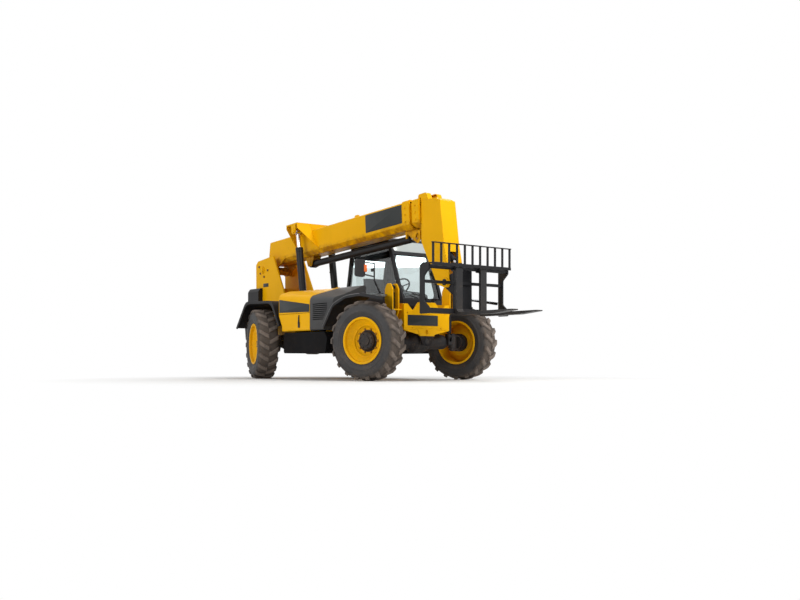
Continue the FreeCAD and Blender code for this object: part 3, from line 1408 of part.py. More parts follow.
def levelling_rams():
    rams = []
    for y in (-LEVEL_Y, LEVEL_Y):
        low, top = (LEVEL_X, y, LEVEL_LOW_Z), (LEVEL_X, y, LEVEL_TOP_Z)
        ram = joined(
            [
                cyl((LEVEL_X, y, LEVEL_LOW_Z + 55), (LEVEL_X, y, LEVEL_TOP_Z - 80), LEVEL_R),
                cyl((LEVEL_X, y, LEVEL_LOW_Z + 25), (LEVEL_X, y, LEVEL_LOW_Z + 60), 20),
                cyl((LEVEL_X, y, LEVEL_LOW_Z + 60), (LEVEL_X, y, LEVEL_TOP_Z - 10), 26),
                cyl((LEVEL_X, y - 22, low[2]), (LEVEL_X, y + 22, low[2]), 38),
                cyl((LEVEL_X, y - 49.7, top[2]), (LEVEL_X, y + 49.7, top[2]), 26),
                cyl((LEVEL_X, y - 30, top[2]), (LEVEL_X, y + 30, top[2]), 40),
            ]
        )
        bore = cyl((LEVEL_X, y - 60, low[2]), (LEVEL_X, y + 60, low[2]), LEVEL_PIN_R + RUNNING_GAP)
        rams.append(ram.cut(bore))
    add("levelling_rams", Part.makeCompound(rams))


# Fork carriage


def carriage_frame():
    x0, x1 = CARRIAGE_BACK_X, FORK_HEEL_X - FORK_T + 4.5
    half = CARRIAGE_HALF_W + 5
    low, top = CARRIAGE_LOW_Z, CARRIAGE_TOP_Z
    side = [
        (x0, low, 20),
        (x0, top - 20, 30),
        (x0 + 60, top + 22, 40),
        (x1, top + 22, 40),
        (x1, top - 80, 30),
        (x0 + 100, top - 180, 40),
        (x0 + 100, low + 185, 40),
        (x1, low + 95, 20),
        (x1, low, 20),
    ]
    end = plate_xz(side, CARRIAGE_HALF_W, CARRIAGE_HALF_W + 25)
    shaft = cyl((SHAFT_X, -half - 5, SHAFT_Z), (SHAFT_X, half + 5, SHAFT_Z), SHAFT_R)
    low_rail = box(x0 + 40, x1, -half, half, low + 10, low + 85)
    mid_rail = box(x0 + 30, x0 + 80, -half, half, 1500, 1545)
    plate = box(x0 + 30, x0 + 48, -190, 190, low + 15, top + 10)
    pieces = [end, mirrored(end), shaft, low_rail, mid_rail, plate]
    lug = [
        (TILT_PIVOT_X - 75, TILT_PIVOT_Z - 20, 70),
        (TILT_PIVOT_X - 60, TILT_PIVOT_Z + 80, 70),
        (x0 + 35, 1700),
        (x0 + 35, 1300),
        (TILT_PIVOT_X - 20, TILT_PIVOT_Z - 85, 60),
    ]
    ear = [
        (TILT_EYE_X - 62, TILT_EYE_Z - 40, 40),
        (TILT_EYE_X - 50, TILT_EYE_Z + 62, 50),
        (TILT_EYE_X + 40, TILT_EYE_Z + 55, 40),
        (x0 + 35, top + 10),
        (x0 + 35, top - 170),
    ]
    lug_y = HEAD_HALF_W - HEAD_PLATE - 3
    for y0, y1, points in ((lug_y - 25, lug_y, lug), (44, 62, ear)):
        piece = plate_xz(points, y0, y1)
        pieces += [piece, mirrored(piece)]
    pin_end = HEAD_HALF_W + 30
    for sign in (1, -1):
        y0, y1 = sorted((sign * (HEAD_HALF_W + 17), sign * pin_end))
        pieces.append(cyl((TILT_PIVOT_X, y0, TILT_PIVOT_Z), (TILT_PIVOT_X, y1, TILT_PIVOT_Z), 50))
        y0, y1 = sorted((sign * 60, sign * 72))
        pieces.append(cyl((TILT_EYE_X, y0, TILT_EYE_Z), (TILT_EYE_X, y1, TILT_EYE_Z), 36))
        bracket = box(x0 + 44, BACKREST_X, -20, 20, top + 12, top + 26)
        bracket.translate(Vector(0, sign * 150, 0))
        pieces.append(bracket)
        riser = box(x0 + 30, x0 + 48, -20, 20, top - 20, top + 26)
        riser.translate(Vector(0, sign * 150, 0))
        pieces.append(riser)
    ends = [(TILT_PIVOT_X, y, TILT_PIVOT_Z) for y in (-pin_end, pin_end)]
    pieces.append(cyl(*ends, TILT_PIN_R))
    return joined(pieces)


def backrest():
    """Grid of flat bars that stands on the carriage, in front of the fork arms."""
    x0, x1 = BACKREST_X, BACKREST_X + BACKREST_T
    top, low = BACKREST_TOP_Z, BACKREST_LOW_Z
    half = CARRIAGE_HALF_W - 12
    pieces = [
        box(x0 - 16, x1 + 16, -half - BAR_W / 2, half + BAR_W / 2, top - 14, top),
        box(x0 + 3, x1 + 8, -half - BAR_W / 2, half + BAR_W / 2, low, low + 44),
    ]
    pitch = 2 * half / (BACKREST_BARS - 1)
    for k in range(BACKREST_BARS):
        y = -half + k * pitch
        pieces.append(box(x0, x1, y - BAR_W / 2, y + BAR_W / 2, low + 5, top - 5))
    for sign in (1, -1):
        y0, y1 = sorted((sign * (half - BAR_W / 2), sign * CARRIAGE_HALF_W))
        pieces.append(box(FORK_HEEL_X - FORK_T - 60, x1, y0, y1, SHAFT_Z + SHAFT_R + 3, low + 42))
    return joined(pieces)


def forks():
    heel = FORK_HEEL_X
    line = [
        (SHAFT_X - 50, SHAFT_Z + 15, 30),
        (SHAFT_X - 30, SHAFT_Z + 55, 40),
        (heel - FORK_T, SHAFT_Z + 55, 30),
        (heel, SHAFT_Z - 5, 30),
        (heel, FORK_TOP_Z + 40, 30),
        (heel + 40, FORK_TOP_Z, 30),
        (FORK_TIP_X, FORK_TOP_Z),
        (FORK_TIP_X, FORK_TOP_Z - 16),
        (FORK_TIP_X - 400, FORK_TOP_Z - FORK_T, 200),
        (heel - FORK_T + 5, FORK_TOP_Z - FORK_T, 50),
        (heel - FORK_T + 5, SHAFT_Z - 55, 20),
        (SHAFT_X - 40, SHAFT_Z - 50, 30),
    ]
    blade = plate_xz(line, FORK_Y - FORK_W / 2, FORK_Y + FORK_W / 2)
    blade = blade.cut(cyl((SHAFT_X, -900, SHAFT_Z), (SHAFT_X, 900, SHAFT_Z), SHAFT_R + RUNNING_GAP))
    return Part.makeCompound([blade, mirrored(blade)])


def fork_carriage():
    add("carriage_frame", carriage_frame())
    add("load_backrest", backrest())
    add("forks", forks())


# Mirrors


def mirrors():
    """Mirror on the right front guard, with its folding arm's loop and lamp, and the mirror on the cab."""
    x = FRONT_X + 25
    arm = [
        cyl((x, -760, 1390), (x, -760, 1400), 45),
        cyl((x, -760, 1398), (x, -880, 1600), 14),
        cyl((x, -880, 1590), (x, -880, 1880), 12),
        cyl((x, -880, 1660), (x, -1100, 1690), 11),
        cyl((x, -880, 1870), (x, -1100, 1880), 11),
        box(x - 25, x + 25, -930, -895, 1740, 1790),
        box(x - 8, x + 8, -900, -875, 1755, 1775),
    ]
    glass_case = [(-1262, 1650, 40), (-1262, 1915, 40), (-1085, 1930, 40), (-1085, 1640, 40)]
    right = joined([*arm, plate_yz(glass_case, x - 10, x + 40)])
    y = CAB_OUT_Y
    x = CAB_FRONT_X - 100
    left_arm = [
        cyl((x - 80, y, 1790), (x - 80, y + 12, 1790), 24),
        cyl((x - 80, y + 13, 1790), (x, y + 35, 1850), 12),
        cyl((x - 170, y, 2010), (x - 170, y + 12, 2010), 24),
        cyl((x - 170, y + 13, 2010), (x, y + 35, 1960), 12),
        cyl((x, y + 35, 1840), (x, y + 35, 1970), 14),
    ]
    glass_case = [(y + 25, 1760, 40), (y + 25, 2050, 40), (y + 202, 2050, 40), (y + 202, 1760, 40)]
    left = joined([*left_arm, plate_yz(glass_case, x - 10, x + 35)])
    add("mirrors", Part.makeCompound([right, left]))


def build():
    running_gear()
    add("chassis_frame", joined([chassis_frame(), *cab_mount()]))
    add("boom_tower", boom_tower())
    add("counterweight", joined([counterweight(), hitch()]))
    boom()
    lift_rams()
    tilt_ram()
    levelling_rams()
    add("cab_frame", joined([cab_frame(), *door_hinge_posts()]))
    add("cab_glass", cab_glass())
    add("cab_door", cab_door())
    add("door_glass", door_glass())
    cab_interior()
    pod()
    add("radiator_cowl", radiator_cowl())
    add("side_tanks", Part.makeCompound([side_tank(), mirrored(side_tank())]))
    mudguards()
    fork_carriage()
    mirrors()


def export():
    os.makedirs("parts", exist_ok=True)
    for name, shape in PARTS.items():
        placed = shape.copy()
        placed.translate(Vector(-ORIGIN_X, 0, 0))
        solids = placed.Solids
        body = solids[0] if len(solids) == 1 else Part.makeCompound(solids)
        body.exportStep(f"parts/{name}.step")


build()
export()
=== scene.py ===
import json
import math

import bpy
from mathutils import Matrix, Vector


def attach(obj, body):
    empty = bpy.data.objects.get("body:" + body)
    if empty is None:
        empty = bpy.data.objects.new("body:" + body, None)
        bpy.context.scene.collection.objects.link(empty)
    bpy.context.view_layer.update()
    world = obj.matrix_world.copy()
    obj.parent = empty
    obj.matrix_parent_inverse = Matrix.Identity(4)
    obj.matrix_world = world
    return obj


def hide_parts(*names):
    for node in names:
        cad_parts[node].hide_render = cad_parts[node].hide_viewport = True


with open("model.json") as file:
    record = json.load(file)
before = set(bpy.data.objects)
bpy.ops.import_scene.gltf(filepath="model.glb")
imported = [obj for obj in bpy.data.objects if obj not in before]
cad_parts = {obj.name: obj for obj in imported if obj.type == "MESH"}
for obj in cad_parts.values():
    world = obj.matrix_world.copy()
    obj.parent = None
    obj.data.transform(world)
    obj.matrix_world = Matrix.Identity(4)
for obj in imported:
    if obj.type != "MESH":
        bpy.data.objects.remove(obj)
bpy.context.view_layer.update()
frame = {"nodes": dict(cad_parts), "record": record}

scene = bpy.context.scene
NODES = frame["nodes"]

# Machine sizes in metres. The CAD frame is the machine frame moved back by ORIGIN_X along X.
ORIGIN_X = 0.3725
WHEELBASE = 3.150
TRACK = 2.120
HUB_Z = 0.635
KINGPIN_OFFSET = 0.280
STEER = math.radians(17.5)
BOOM_TILT = math.radians(3.4)
PIVOT = Vector((-2.840 - ORIGIN_X, 0.0, 2.120))
BOOM_FRAME = Matrix.Translation(PIVOT) @ Matrix.Rotation(-BOOM_TILT, 4, "Y")
MACHINE_FRAME = Matrix.Translation((-ORIGIN_X, 0.0, 0.0))
CORNERS = {
    "front_right": (WHEELBASE / 2, -1, STEER),
    "front_left": (WHEELBASE / 2, 1, STEER),
    "rear_right": (-WHEELBASE / 2, -1, -STEER),
    "rear_left": (-WHEELBASE / 2, 1, -STEER),
}


def wheel_frame(corner):
    """From a left-hand wheel drawn about the origin to its corner, turned about its kingpin."""
    x, side, steer = CORNERS[corner]
    kingpin = Matrix.Translation((x - ORIGIN_X, side * (TRACK / 2 - KINGPIN_OFFSET), HUB_Z))
    out = Matrix.Translation((0.0, side * KINGPIN_OFFSET, 0.0))
    return kingpin @ Matrix.Rotation(steer, 4, "Z") @ out @ Matrix.Diagonal((1.0, side, 1.0, 1.0))


# Camera, lights and stage

CAMERA_PLACE = (14.425 - ORIGIN_X, -10.320, 0.282)
CAMERA_YAW = math.radians(52.17)
CAMERA_LENS = 44.96  # mm, on a sensor of SENSOR_WIDTH
SENSOR_WIDTH = 36.0
HORIZON_DROP = 0.079  # of the picture's width, from its middle down to the horizon
CAMERA_REACH = 300.0
LIGHTS = [  # name, place, aim, size, power, colour
    ("key", (10.0, 2.0, 10.0), (0.0, 0.0, 1.0), (7.0, 7.0), 1500.0, (1.0, 0.99, 0.97)),
    ("side", (0.0, -14.0, 6.0), (0.0, 0.0, 1.2), (8.0, 5.0), 680.0, (1.0, 0.98, 0.95)),
    ("back", (-9.0, 8.0, 6.0), (0.0, 0.0, 1.2), (6.0, 6.0), 420.0, (0.96, 0.98, 1.0)),
]
FILL_COLOUR = (0.96, 0.97, 1.0, 1.0)
FILL_STRENGTH = 0.46
FLOOR_SIZE = 400.0
FLOOR_COLOUR = (0.80, 0.80, 0.79, 1.0)
FLOOR_FADE = (2.9, 5.6)  # distances from the middle where the floor starts and ends its fade to white


def set_camera():
    camera_data = bpy.data.cameras.new("camera")
    camera = bpy.data.objects.new("camera", camera_data)
    scene.collection.objects.link(camera)
    camera.location = CAMERA_PLACE
    camera.rotation_euler = (math.radians(90.0), 0.0, CAMERA_YAW)
    camera_data.lens = CAMERA_LENS
    camera_data.sensor_width = SENSOR_WIDTH
    camera_data.shift_y = HORIZON_DROP
    camera_data.clip_end = CAMERA_REACH
    scene.camera = camera


def add_area_light(name, place, aim, size, power, colour):
    light_data = bpy.data.lights.new(name, "AREA")
    light_data.shape = "RECTANGLE"
    light_data.size, light_data.size_y = size
    light_data.energy = power
    light_data.color = colour
    light = bpy.data.objects.new(name, light_data)
    scene.collection.objects.link(light)
    light.location = place
    light.rotation_euler = (Vector(aim) - Vector(place)).to_track_quat("-Z", "Y").to_euler()


def seen_directly(tree):
    """1 on the rays that show a surface to the camera, in a mirror or through glass, else 0."""
    path = tree.nodes.new("ShaderNodeLightPath")
    rays = math_node(tree, "MAXIMUM", path.outputs["Is Camera Ray"], path.outputs["Is Glossy Ray"])
    return math_node(tree, "MAXIMUM", rays, path.outputs["Is Transmission Ray"])


def background(tree, colour, strength):
    node = tree.nodes.new("ShaderNodeBackground")
    node.inputs["Color"].default_value = colour
    node.inputs["Strength"].default_value = strength
    return node.outputs["Background"]


def show_mixed(tree, factor, first, second, output):
    """Gives the output the first shader where the factor is 0 and the second where it is 1."""
    mix = tree.nodes.new("ShaderNodeMixShader")
    tree.links.new(factor, mix.inputs["Fac"])
    tree.links.new(first, mix.inputs[1])
    tree.links.new(second, mix.inputs[2])
    tree.links.new(mix.outputs["Shader"], output.inputs["Surface"])


def set_world():
    """A white backdrop that lights the machine only as a weaker, cooler fill."""
    world = bpy.data.worlds.new("studio_sky")
    scene.world = world
    world.use_nodes = True
    tree = world.node_tree
    tree.nodes.clear()
    output = tree.nodes.new("ShaderNodeOutputWorld")
    fill = background(tree, FILL_COLOUR, FILL_STRENGTH)
    seen = background(tree, (1.0, 1.0, 1.0, 1.0), 1.0)
    show_mixed(tree, seen_directly(tree), fill, seen, output)


def add_floor():
    """A pale floor that keeps the machine's shadow and runs out into the white backdrop."""
    bpy.ops.mesh.primitive_plane_add(size=FLOOR_SIZE, location=(0.0, 0.0, 0.0))
    floor = bpy.context.object
    floor.name = "studio_floor"
    material, tree, shader, place = start_material("pale_floor")
    shader.inputs["Base Color"].default_value = FLOOR_COLOUR
    shader.inputs["Roughness"].default_value = 0.95
    shader.inputs["Specular IOR Level"].default_value = 0.1
    reach = tree.nodes.new("ShaderNodeVectorMath")
    reach.operation = "LENGTH"
    tree.links.new(place, reach.inputs[0])
    far = spread(tree, reach.outputs["Value"], *FLOOR_FADE)
    white = tree.nodes.new("ShaderNodeEmission").outputs["Emission"]
    factor = math_node(tree, "MULTIPLY", far, seen_directly(tree))
    show_mixed(tree, factor, shader.outputs["BSDF"], white, tree.nodes["Material Output"])
    floor.data.materials.append(material)


# Shared effects, each a shader node group

EDGE_RADIUS = 0.007
GRAIN_DEPTH = 0.002
COAT_ROUGHNESS = 0.12
WORN_ROUGHNESS = 0.12  # added at most where the shade has drifted
DUSTY_ROUGHNESS = 0.5  # added at most under dust


def new_group(name, inputs, outputs):
    """An empty group with its sockets, given as label: kind."""
    group = bpy.data.node_groups.new(name, "ShaderNodeTree")
    for direction, sockets in (("INPUT", inputs), ("OUTPUT", outputs)):
        for label, kind in sockets.items():
            group.interface.new_socket(name=label, in_out=direction, socket_type=f"NodeSocket{kind}")
    return group, group.nodes.new("NodeGroupInput"), group.nodes.new("NodeGroupOutput")


def feed(tree, socket, value):
    """Sets a socket to a value, or links it to the socket that gives the value."""
    if isinstance(value, (int, float, tuple)):
        socket.default_value = value
    else:
        tree.links.new(value, socket)


def math_node(tree, operation, a, b=None, clamp=False):
    node = tree.nodes.new("ShaderNodeMath")
    node.operation = operation
    node.use_clamp = clamp
    feed(tree, node.inputs[0], a)
    if b is not None:
        feed(tree, node.inputs[1], b)
    return node.outputs[0]


def separate(tree, vector):
    """The X, Y and Z outputs of a vector."""
    node = tree.nodes.new("ShaderNodeSeparateXYZ")
    tree.links.new(vector, node.inputs[0])
    return node.outputs


def mapped(tree, vector, **values):
    """A vector after a mapping with the given Scale and Rotation."""
    node = tree.nodes.new("ShaderNodeMapping")
    tree.links.new(vector, node.inputs["Vector"])
    for label, value in values.items():
        node.inputs[label].default_value = value
    return node.outputs["Vector"]


def noise(tree, vector, scale, detail=3.0, rough=0.55):
    node = tree.nodes.new("ShaderNodeTexNoise")
    node.inputs["Scale"].default_value = scale
    node.inputs["Detail"].default_value = detail
    node.inputs["Roughness"].default_value = rough
    tree.links.new(vector, node.inputs["Vector"])
    return node.outputs["Fac"]


def spread(tree, value, low, high):
    """Maps low..high of a value onto 0..1, held at the ends."""
    node = tree.nodes.new("ShaderNodeMapRange")
    node.clamp = True
    node.inputs["From Min"].default_value = low
    node.inputs["From Max"].default_value = high
    tree.links.new(value, node.inputs["Value"])
    return node.outputs["Result"]


def mix_colour(tree, factor, a, b):
    node = tree.nodes.new("ShaderNodeMix")
    node.data_type = "RGBA"
    feed(tree, node.inputs["Factor"], factor)
    feed(tree, node.inputs[6], a)  # the node's colour sockets
    feed(tree, node.inputs[7], b)
    return node.outputs[2]


def site_dust_group():
    """Mask of dust and dried mud: thick low down, in patches, and thin above."""
    group, ins, outs = new_group(
        "site_dust", {"Vector": "Vector", "Reach": "Float", "Amount": "Float"}, {"Mask": "Float"}
    )
    vector = ins.outputs["Vector"]
    height = math_node(group, "DIVIDE", separate(group, vector)["Z"], ins.outputs["Reach"])
    low = math_node(group, "SUBTRACT", 1.0, height, clamp=True)
    patches = spread(group, noise(group, vector, 3.1, 6.0, 0.65), 0.44, 0.70)
    specks = spread(group, noise(group, vector, 38.0, 3.0, 0.6), 0.5, 0.68)
    body = math_node(group, "MULTIPLY", low, math_node(group, "ADD", patches, 0.15))
    above = math_node(group, "MULTIPLY", math_node(group, "MULTIPLY", patches, specks), 0.10)
    splashed = math_node(group, "MULTIPLY", body, math_node(group, "ADD", specks, 0.45))
    total = math_node(group, "ADD", splashed, above)
    mask = math_node(group, "MULTIPLY", total, ins.outputs["Amount"], clamp=True)
    group.links.new(mask, outs.inputs["Mask"])
    return group


def shade_drift_group():
    """Slow light and dark drift of a colour, with faint vertical rain streaks."""
    group, ins, outs = new_group(
        "shade_drift",
        {"Vector": "Vector", "Color": "Color", "Amount": "Float"},
        {"Color": "Color", "Fac": "Float"},
    )
    vector = ins.outputs["Vector"]
    streaks = noise(group, mapped(group, vector, Scale=(7.0, 7.0, 0.9)), 1.3, 4.0)
    drift = noise(group, vector, 0.9, 5.0)
    streak_share = math_node(group, "MULTIPLY", streaks, 0.18)
    drift_share = math_node(group, "MULTIPLY", drift, 0.82)
    both = math_node(group, "ADD", streak_share, drift_share)
    centred = spread(group, both, 0.36, 0.64)
    darker = math_node(group, "MULTIPLY", centred, ins.outputs["Amount"])
    factor = math_node(group, "SUBTRACT", 1.0, darker)
    scale = group.nodes.new("ShaderNodeVectorMath")
    scale.operation = "SCALE"
    group.links.new(ins.outputs["Color"], scale.inputs[0])
    group.links.new(factor, scale.inputs["Scale"])
    group.links.new(scale.outputs[0], outs.inputs["Color"])
    group.links.new(centred, outs.inputs["Fac"])
    return group


def surface_grain_group():
    """Height of a fine surface grain: orange peel on paint, moulding on plastic, skin on castings."""
    group, ins, outs = new_group(
        "surface_grain", {"Vector": "Vector", "Scale": "Float"}, {"Height": "Float"}
    )
    node = group.nodes.new("ShaderNodeTexNoise")
    node.inputs["Detail"].default_value = 2.0
    group.links.new(ins.outputs["Vector"], node.inputs["Vector"])
    group.links.new(ins.outputs["Scale"], node.inputs["Scale"])
    group.links.new(node.outputs["Fac"], outs.inputs["Height"])
    return group


def chip_group():
    """Mask of small chips and scratches that go through the paint."""
    group, ins, outs = new_group(
        "paint_chips", {"Vector": "Vector", "Amount": "Float"}, {"Mask": "Float"}
    )
    vector = ins.outputs["Vector"]
    where = spread(group, noise(group, vector, 2.3, 3.0), 0.52, 0.70)
    stretched = mapped(group, vector, Scale=(1.0, 1.0, 0.28), Rotation=(0.3, 0.5, 0.2))
    chips = spread(group, noise(group, stretched, 46.0, 4.0, 0.7), 0.66, 0.70)
    both = math_node(group, "MULTIPLY", where, chips)
    mask = math_node(group, "MULTIPLY", both, ins.outputs["Amount"], clamp=True)
    group.links.new(mask, outs.inputs["Mask"])
    return group


def edge_wear_group():
    """Rounds the shading of sharp edges, and masks them where they are rubbed."""
    group, ins, outs = new_group(
        "edge_wear", {"Vector": "Vector", "Amount": "Float"}, {"Mask": "Float", "Normal": "Vector"}
    )
    eased = group.nodes.new("ShaderNodeBevel")
    eased.samples = 4
    eased.inputs["Radius"].default_value = EDGE_RADIUS
    plain = group.nodes.new("ShaderNodeNewGeometry")
    dot = group.nodes.new("ShaderNodeVectorMath")
    dot.operation = "DOT_PRODUCT"
    group.links.new(eased.outputs["Normal"], dot.inputs[0])
    group.links.new(plain.outputs["Normal"], dot.inputs[1])
    near = math_node(group, "SUBTRACT", 1.0, dot.outputs["Value"])
    edge = spread(group, near, 0.02, 0.20)
    broken = spread(group, noise(group, ins.outputs["Vector"], 14.0, 5.0, 0.65), 0.46, 0.62)
    rubbed = math_node(group, "MULTIPLY", edge, broken)
    mask = math_node(group, "MULTIPLY", rubbed, ins.outputs["Amount"], clamp=True)
    group.links.new(mask, outs.inputs["Mask"])
    group.links.new(eased.outputs["Normal"], outs.inputs["Normal"])
    return group


DUST = site_dust_group()
DRIFT = shade_drift_group()
GRAIN = surface_grain_group()
CHIPS = chip_group()
EDGES = edge_wear_group()
DUST_COLOUR = (0.27, 0.185, 0.125, 1.0)
MUD_COLOUR = (0.115, 0.090, 0.072, 1.0)
DRY_MUD_COLOUR = (0.220, 0.176, 0.146, 1.0)
GREASE_COLOUR = (0.30, 0.115, 0.012, 1.0)
GREASE_HEIGHT = 0.095  # of the grease's upper border over the boom's pivot line
GREASE_WANDER = 0.24
GREASE_COVER = 0.75
MUD_COVER = 0.85
RUBBER_ROUGHNESS = 0.62
HANGER_TOP = 0.722
HANGER_START = 1.24  # from the machine's middle towards the nose and the tail


def start_material(name):
    material = bpy.data.materials.new(name)
    material.use_nodes = True
    tree = material.node_tree
    coords = tree.nodes.new("ShaderNodeTexCoord")
    return material, tree, tree.nodes["Principled BSDF"], coords.outputs["Object"]


def use_group(tree, group, **values):
    node = tree.nodes.new("ShaderNodeGroup")
    node.node_tree = group
    for label, value in values.items():
        feed(tree, node.inputs[label], value)
    return node


def add_bump(tree, shader, height, strength, distance, normal=None):
    bump = tree.nodes.new("ShaderNodeBump")
    if normal:
        tree.links.new(normal, bump.inputs["Normal"])
    bump.inputs["Strength"].default_value = strength
    bump.inputs["Distance"].default_value = distance
    tree.links.new(height, bump.inputs["Height"])
    tree.links.new(bump.outputs["Normal"], shader.inputs["Normal"])


def boom_grease(tree, place):
    """1 where brown grease and dirt gather along the boom's lower edges, seen in the boom's own frame."""
    height = separate(tree, mapped(tree, place, Rotation=(0.0, BOOM_TILT, 0.0)))["Z"]
    level = (Matrix.Rotation(BOOM_TILT, 4, "Y") @ BOOM_FRAME @ Vector((0.0, 0.0, GREASE_HEIGHT))).z
    wander = math_node(tree, "MULTIPLY", noise(tree, place, 2.6, 5.0), GREASE_WANDER)
    above = math_node(tree, "SUBTRACT", math_node(tree, "SUBTRACT", height, level), wander)
    band = math_node(tree, "SUBTRACT", 1.0, spread(tree, above, -0.09, 0.01))
    broken = spread(tree, noise(tree, place, 9.0, 5.0, 0.6), 0.34, 0.62)
    return math_node(tree, "MULTIPLY", math_node(tree, "MULTIPLY", band, broken), GREASE_COVER)


def coated(
    name, colour, rough, drift=0.12, dust=0.5, reach=1.3, grain=260.0, bump=0.04, metallic=0.0,
    coat=0.0, specular=0.5, chips=0.0, under=(0.10, 0.05, 0.03, 1.0), rubbed=0.0, grease=False,
    patch=None,
):
    """A painted or moulded surface with shade drift, dust and a fine grain, and on some chips, rubbed
    edges, grease or a black patch. Dust reaches up to the height in reach."""
    material, tree, shader, place = start_material(name)
    base = use_group(tree, DRIFT, Vector=place, Color=colour + (1.0,), Amount=drift)
    dirt = use_group(tree, DUST, Vector=place, Reach=reach, Amount=dust)
    skin = use_group(tree, GRAIN, Vector=place, Scale=grain)
    shown = base.outputs["Color"]
    normal = None
    if patch:
        shown = mix_colour(tree, patch(tree, place), shown, BLACK)
    if rubbed:
        edges = use_group(tree, EDGES, Vector=place, Amount=rubbed)
        normal = edges.outputs["Normal"]
        shown = mix_colour(tree, edges.outputs["Mask"], shown, under)
    if chips:
        worn_off = use_group(tree, CHIPS, Vector=place, Amount=chips)
        shown = mix_colour(tree, worn_off.outputs["Mask"], shown, under)
    if grease:
        shown = mix_colour(tree, boom_grease(tree, place), shown, GREASE_COLOUR)
    shown = mix_colour(tree, dirt.outputs["Mask"], shown, DUST_COLOUR)
    tree.links.new(shown, shader.inputs["Base Color"])
    worn = math_node(tree, "MULTIPLY", base.outputs["Fac"], WORN_ROUGHNESS)
    dusty = math_node(tree, "MULTIPLY", dirt.outputs["Mask"], DUSTY_ROUGHNESS)
    total = math_node(tree, "ADD", math_node(tree, "ADD", worn, dusty), rough, clamp=True)
    tree.links.new(total, shader.inputs["Roughness"])
    shader.inputs["Metallic"].default_value = metallic
    shader.inputs["Specular IOR Level"].default_value = specular
    shader.inputs["Coat Weight"].default_value = coat
    shader.inputs["Coat Roughness"].default_value = COAT_ROUGHNESS
    add_bump(tree, shader, skin.outputs["Height"], bump, GRAIN_DEPTH, normal)
    return material


def hanger_patch(tree, place):
    """1 on the axle hangers under the nose and tail, which are black on the yellow frame."""
    axes = separate(tree, place)
    low = math_node(tree, "LESS_THAN", axes["Z"], HANGER_TOP)
    ahead = math_node(tree, "ADD", axes["X"], ORIGIN_X)
    outer = math_node(tree, "GREATER_THAN", math_node(tree, "ABSOLUTE", ahead), HANGER_START)
    return math_node(tree, "MULTIPLY", low, outer)


def point_value(tree, name):
    """A value that the piece's own points carry."""
    node = tree.nodes.new("ShaderNodeAttribute")
    node.attribute_name = name
    return node.outputs["Fac"]


def tyre_rubber():
    """Dark rubber sidewalls, and mud pressed into the tread, by the tyre's own tread and crown marks."""
    material, tree, shader, place = start_material("tyre_rubber")
    base = use_group(tree, DRIFT, Vector=place, Color=(0.040, 0.040, 0.042, 1.0), Amount=0.3)
    dirt = use_group(tree, DUST, Vector=place, Reach=1.6, Amount=0.22)
    grain = use_group(tree, GRAIN, Vector=place, Scale=120.0)
    cake = spread(tree, noise(tree, place, 7.0, 6.0, 0.7), 0.30, 0.62)
    filled = math_node(tree, "ADD", cake, 0.35)
    packed = math_node(tree, "MULTIPLY", point_value(tree, "tread"), filled, clamp=True)
    rubber = mix_colour(tree, dirt.outputs["Mask"], base.outputs["Color"], DUST_COLOUR)
    mud = mix_colour(tree, point_value(tree, "crown"), MUD_COLOUR, DRY_MUD_COLOUR)
    shown = mix_colour(tree, math_node(tree, "MULTIPLY", packed, MUD_COVER), rubber, mud)
    tree.links.new(shown, shader.inputs["Base Color"])
    muddy = math_node(tree, "MULTIPLY", packed, 0.3)
    rough = math_node(tree, "ADD", muddy, RUBBER_ROUGHNESS, clamp=True)
    tree.links.new(rough, shader.inputs["Roughness"])
    shader.inputs["Specular IOR Level"].default_value = 0.35
    coarse = math_node(tree, "ADD", grain.outputs["Height"], math_node(tree, "MULTIPLY", cake, 2.0))
    add_bump(tree, shader, coarse, 0.25, 0.003)
    return material


def glass(name, tint):
    """Clear glass with faint smears."""
    material, tree, shader, place = start_material(name)
    shader.inputs["Base Color"].default_value = tint + (1.0,)
    shader.inputs["Transmission Weight"].default_value = 1.0
    shader.inputs["IOR"].default_value = 1.45
    smear = spread(tree, noise(tree, place, 4.0, 5.0), 0.4, 0.75)
    tree.links.new(math_node(tree, "MULTIPLY", smear, 0.06), shader.inputs["Roughness"])
    return material


YELLOW = (0.88, 0.45, 0.001)
BLACK = (0.012, 0.012, 0.014, 1.0)
PAINT = dict(rough=0.34, chips=0.5, specular=0.08, drift=0.08, dust=0.28, reach=1.10, rubbed=0.6)
MATERIALS = {
    "yellow_paint": coated("yellow_paint", YELLOW, **PAINT),
    "black_paint": coated(
        "black_paint", (0.010, 0.010, 0.012), 0.40, specular=0.22, drift=0.3, dust=0.22, chips=0.2,
        rubbed=0.4, under=(0.09, 0.085, 0.08, 1.0),
    ),
    "dark_grey": coated(
        "dark_grey", (0.050, 0.051, 0.053), 0.46, specular=0.25, drift=0.25, dust=0.22,
        rubbed=0.3, under=(0.08, 0.08, 0.08, 1.0),
    ),
    "tyre_rubber": tyre_rubber(),
    "glass": glass("glass", (0.80, 0.86, 0.86)),
    "chrome_rod": coated(
        "chrome_rod", (0.62, 0.62, 0.63), 0.16, drift=0.1, dust=0.15, metallic=1.0
    ),
    "seat_fabric": coated(
        "seat_fabric", (0.035, 0.035, 0.04), 0.9, drift=0.3, dust=0.1, grain=900.0, bump=0.3
    ),
    "plastic": coated(
        "plastic", (0.014, 0.014, 0.016), 0.50, specular=0.3, dust=0.2, grain=700.0, bump=0.12
    ),
    "cast_iron": coated(
        "cast_iron", (0.012, 0.012, 0.014), 0.5, specular=0.3, dust=0.4, grain=150.0, bump=0.25
    ),
}
BOOM_PAINT = coated("boom_paint", YELLOW, grease=True, **PAINT)
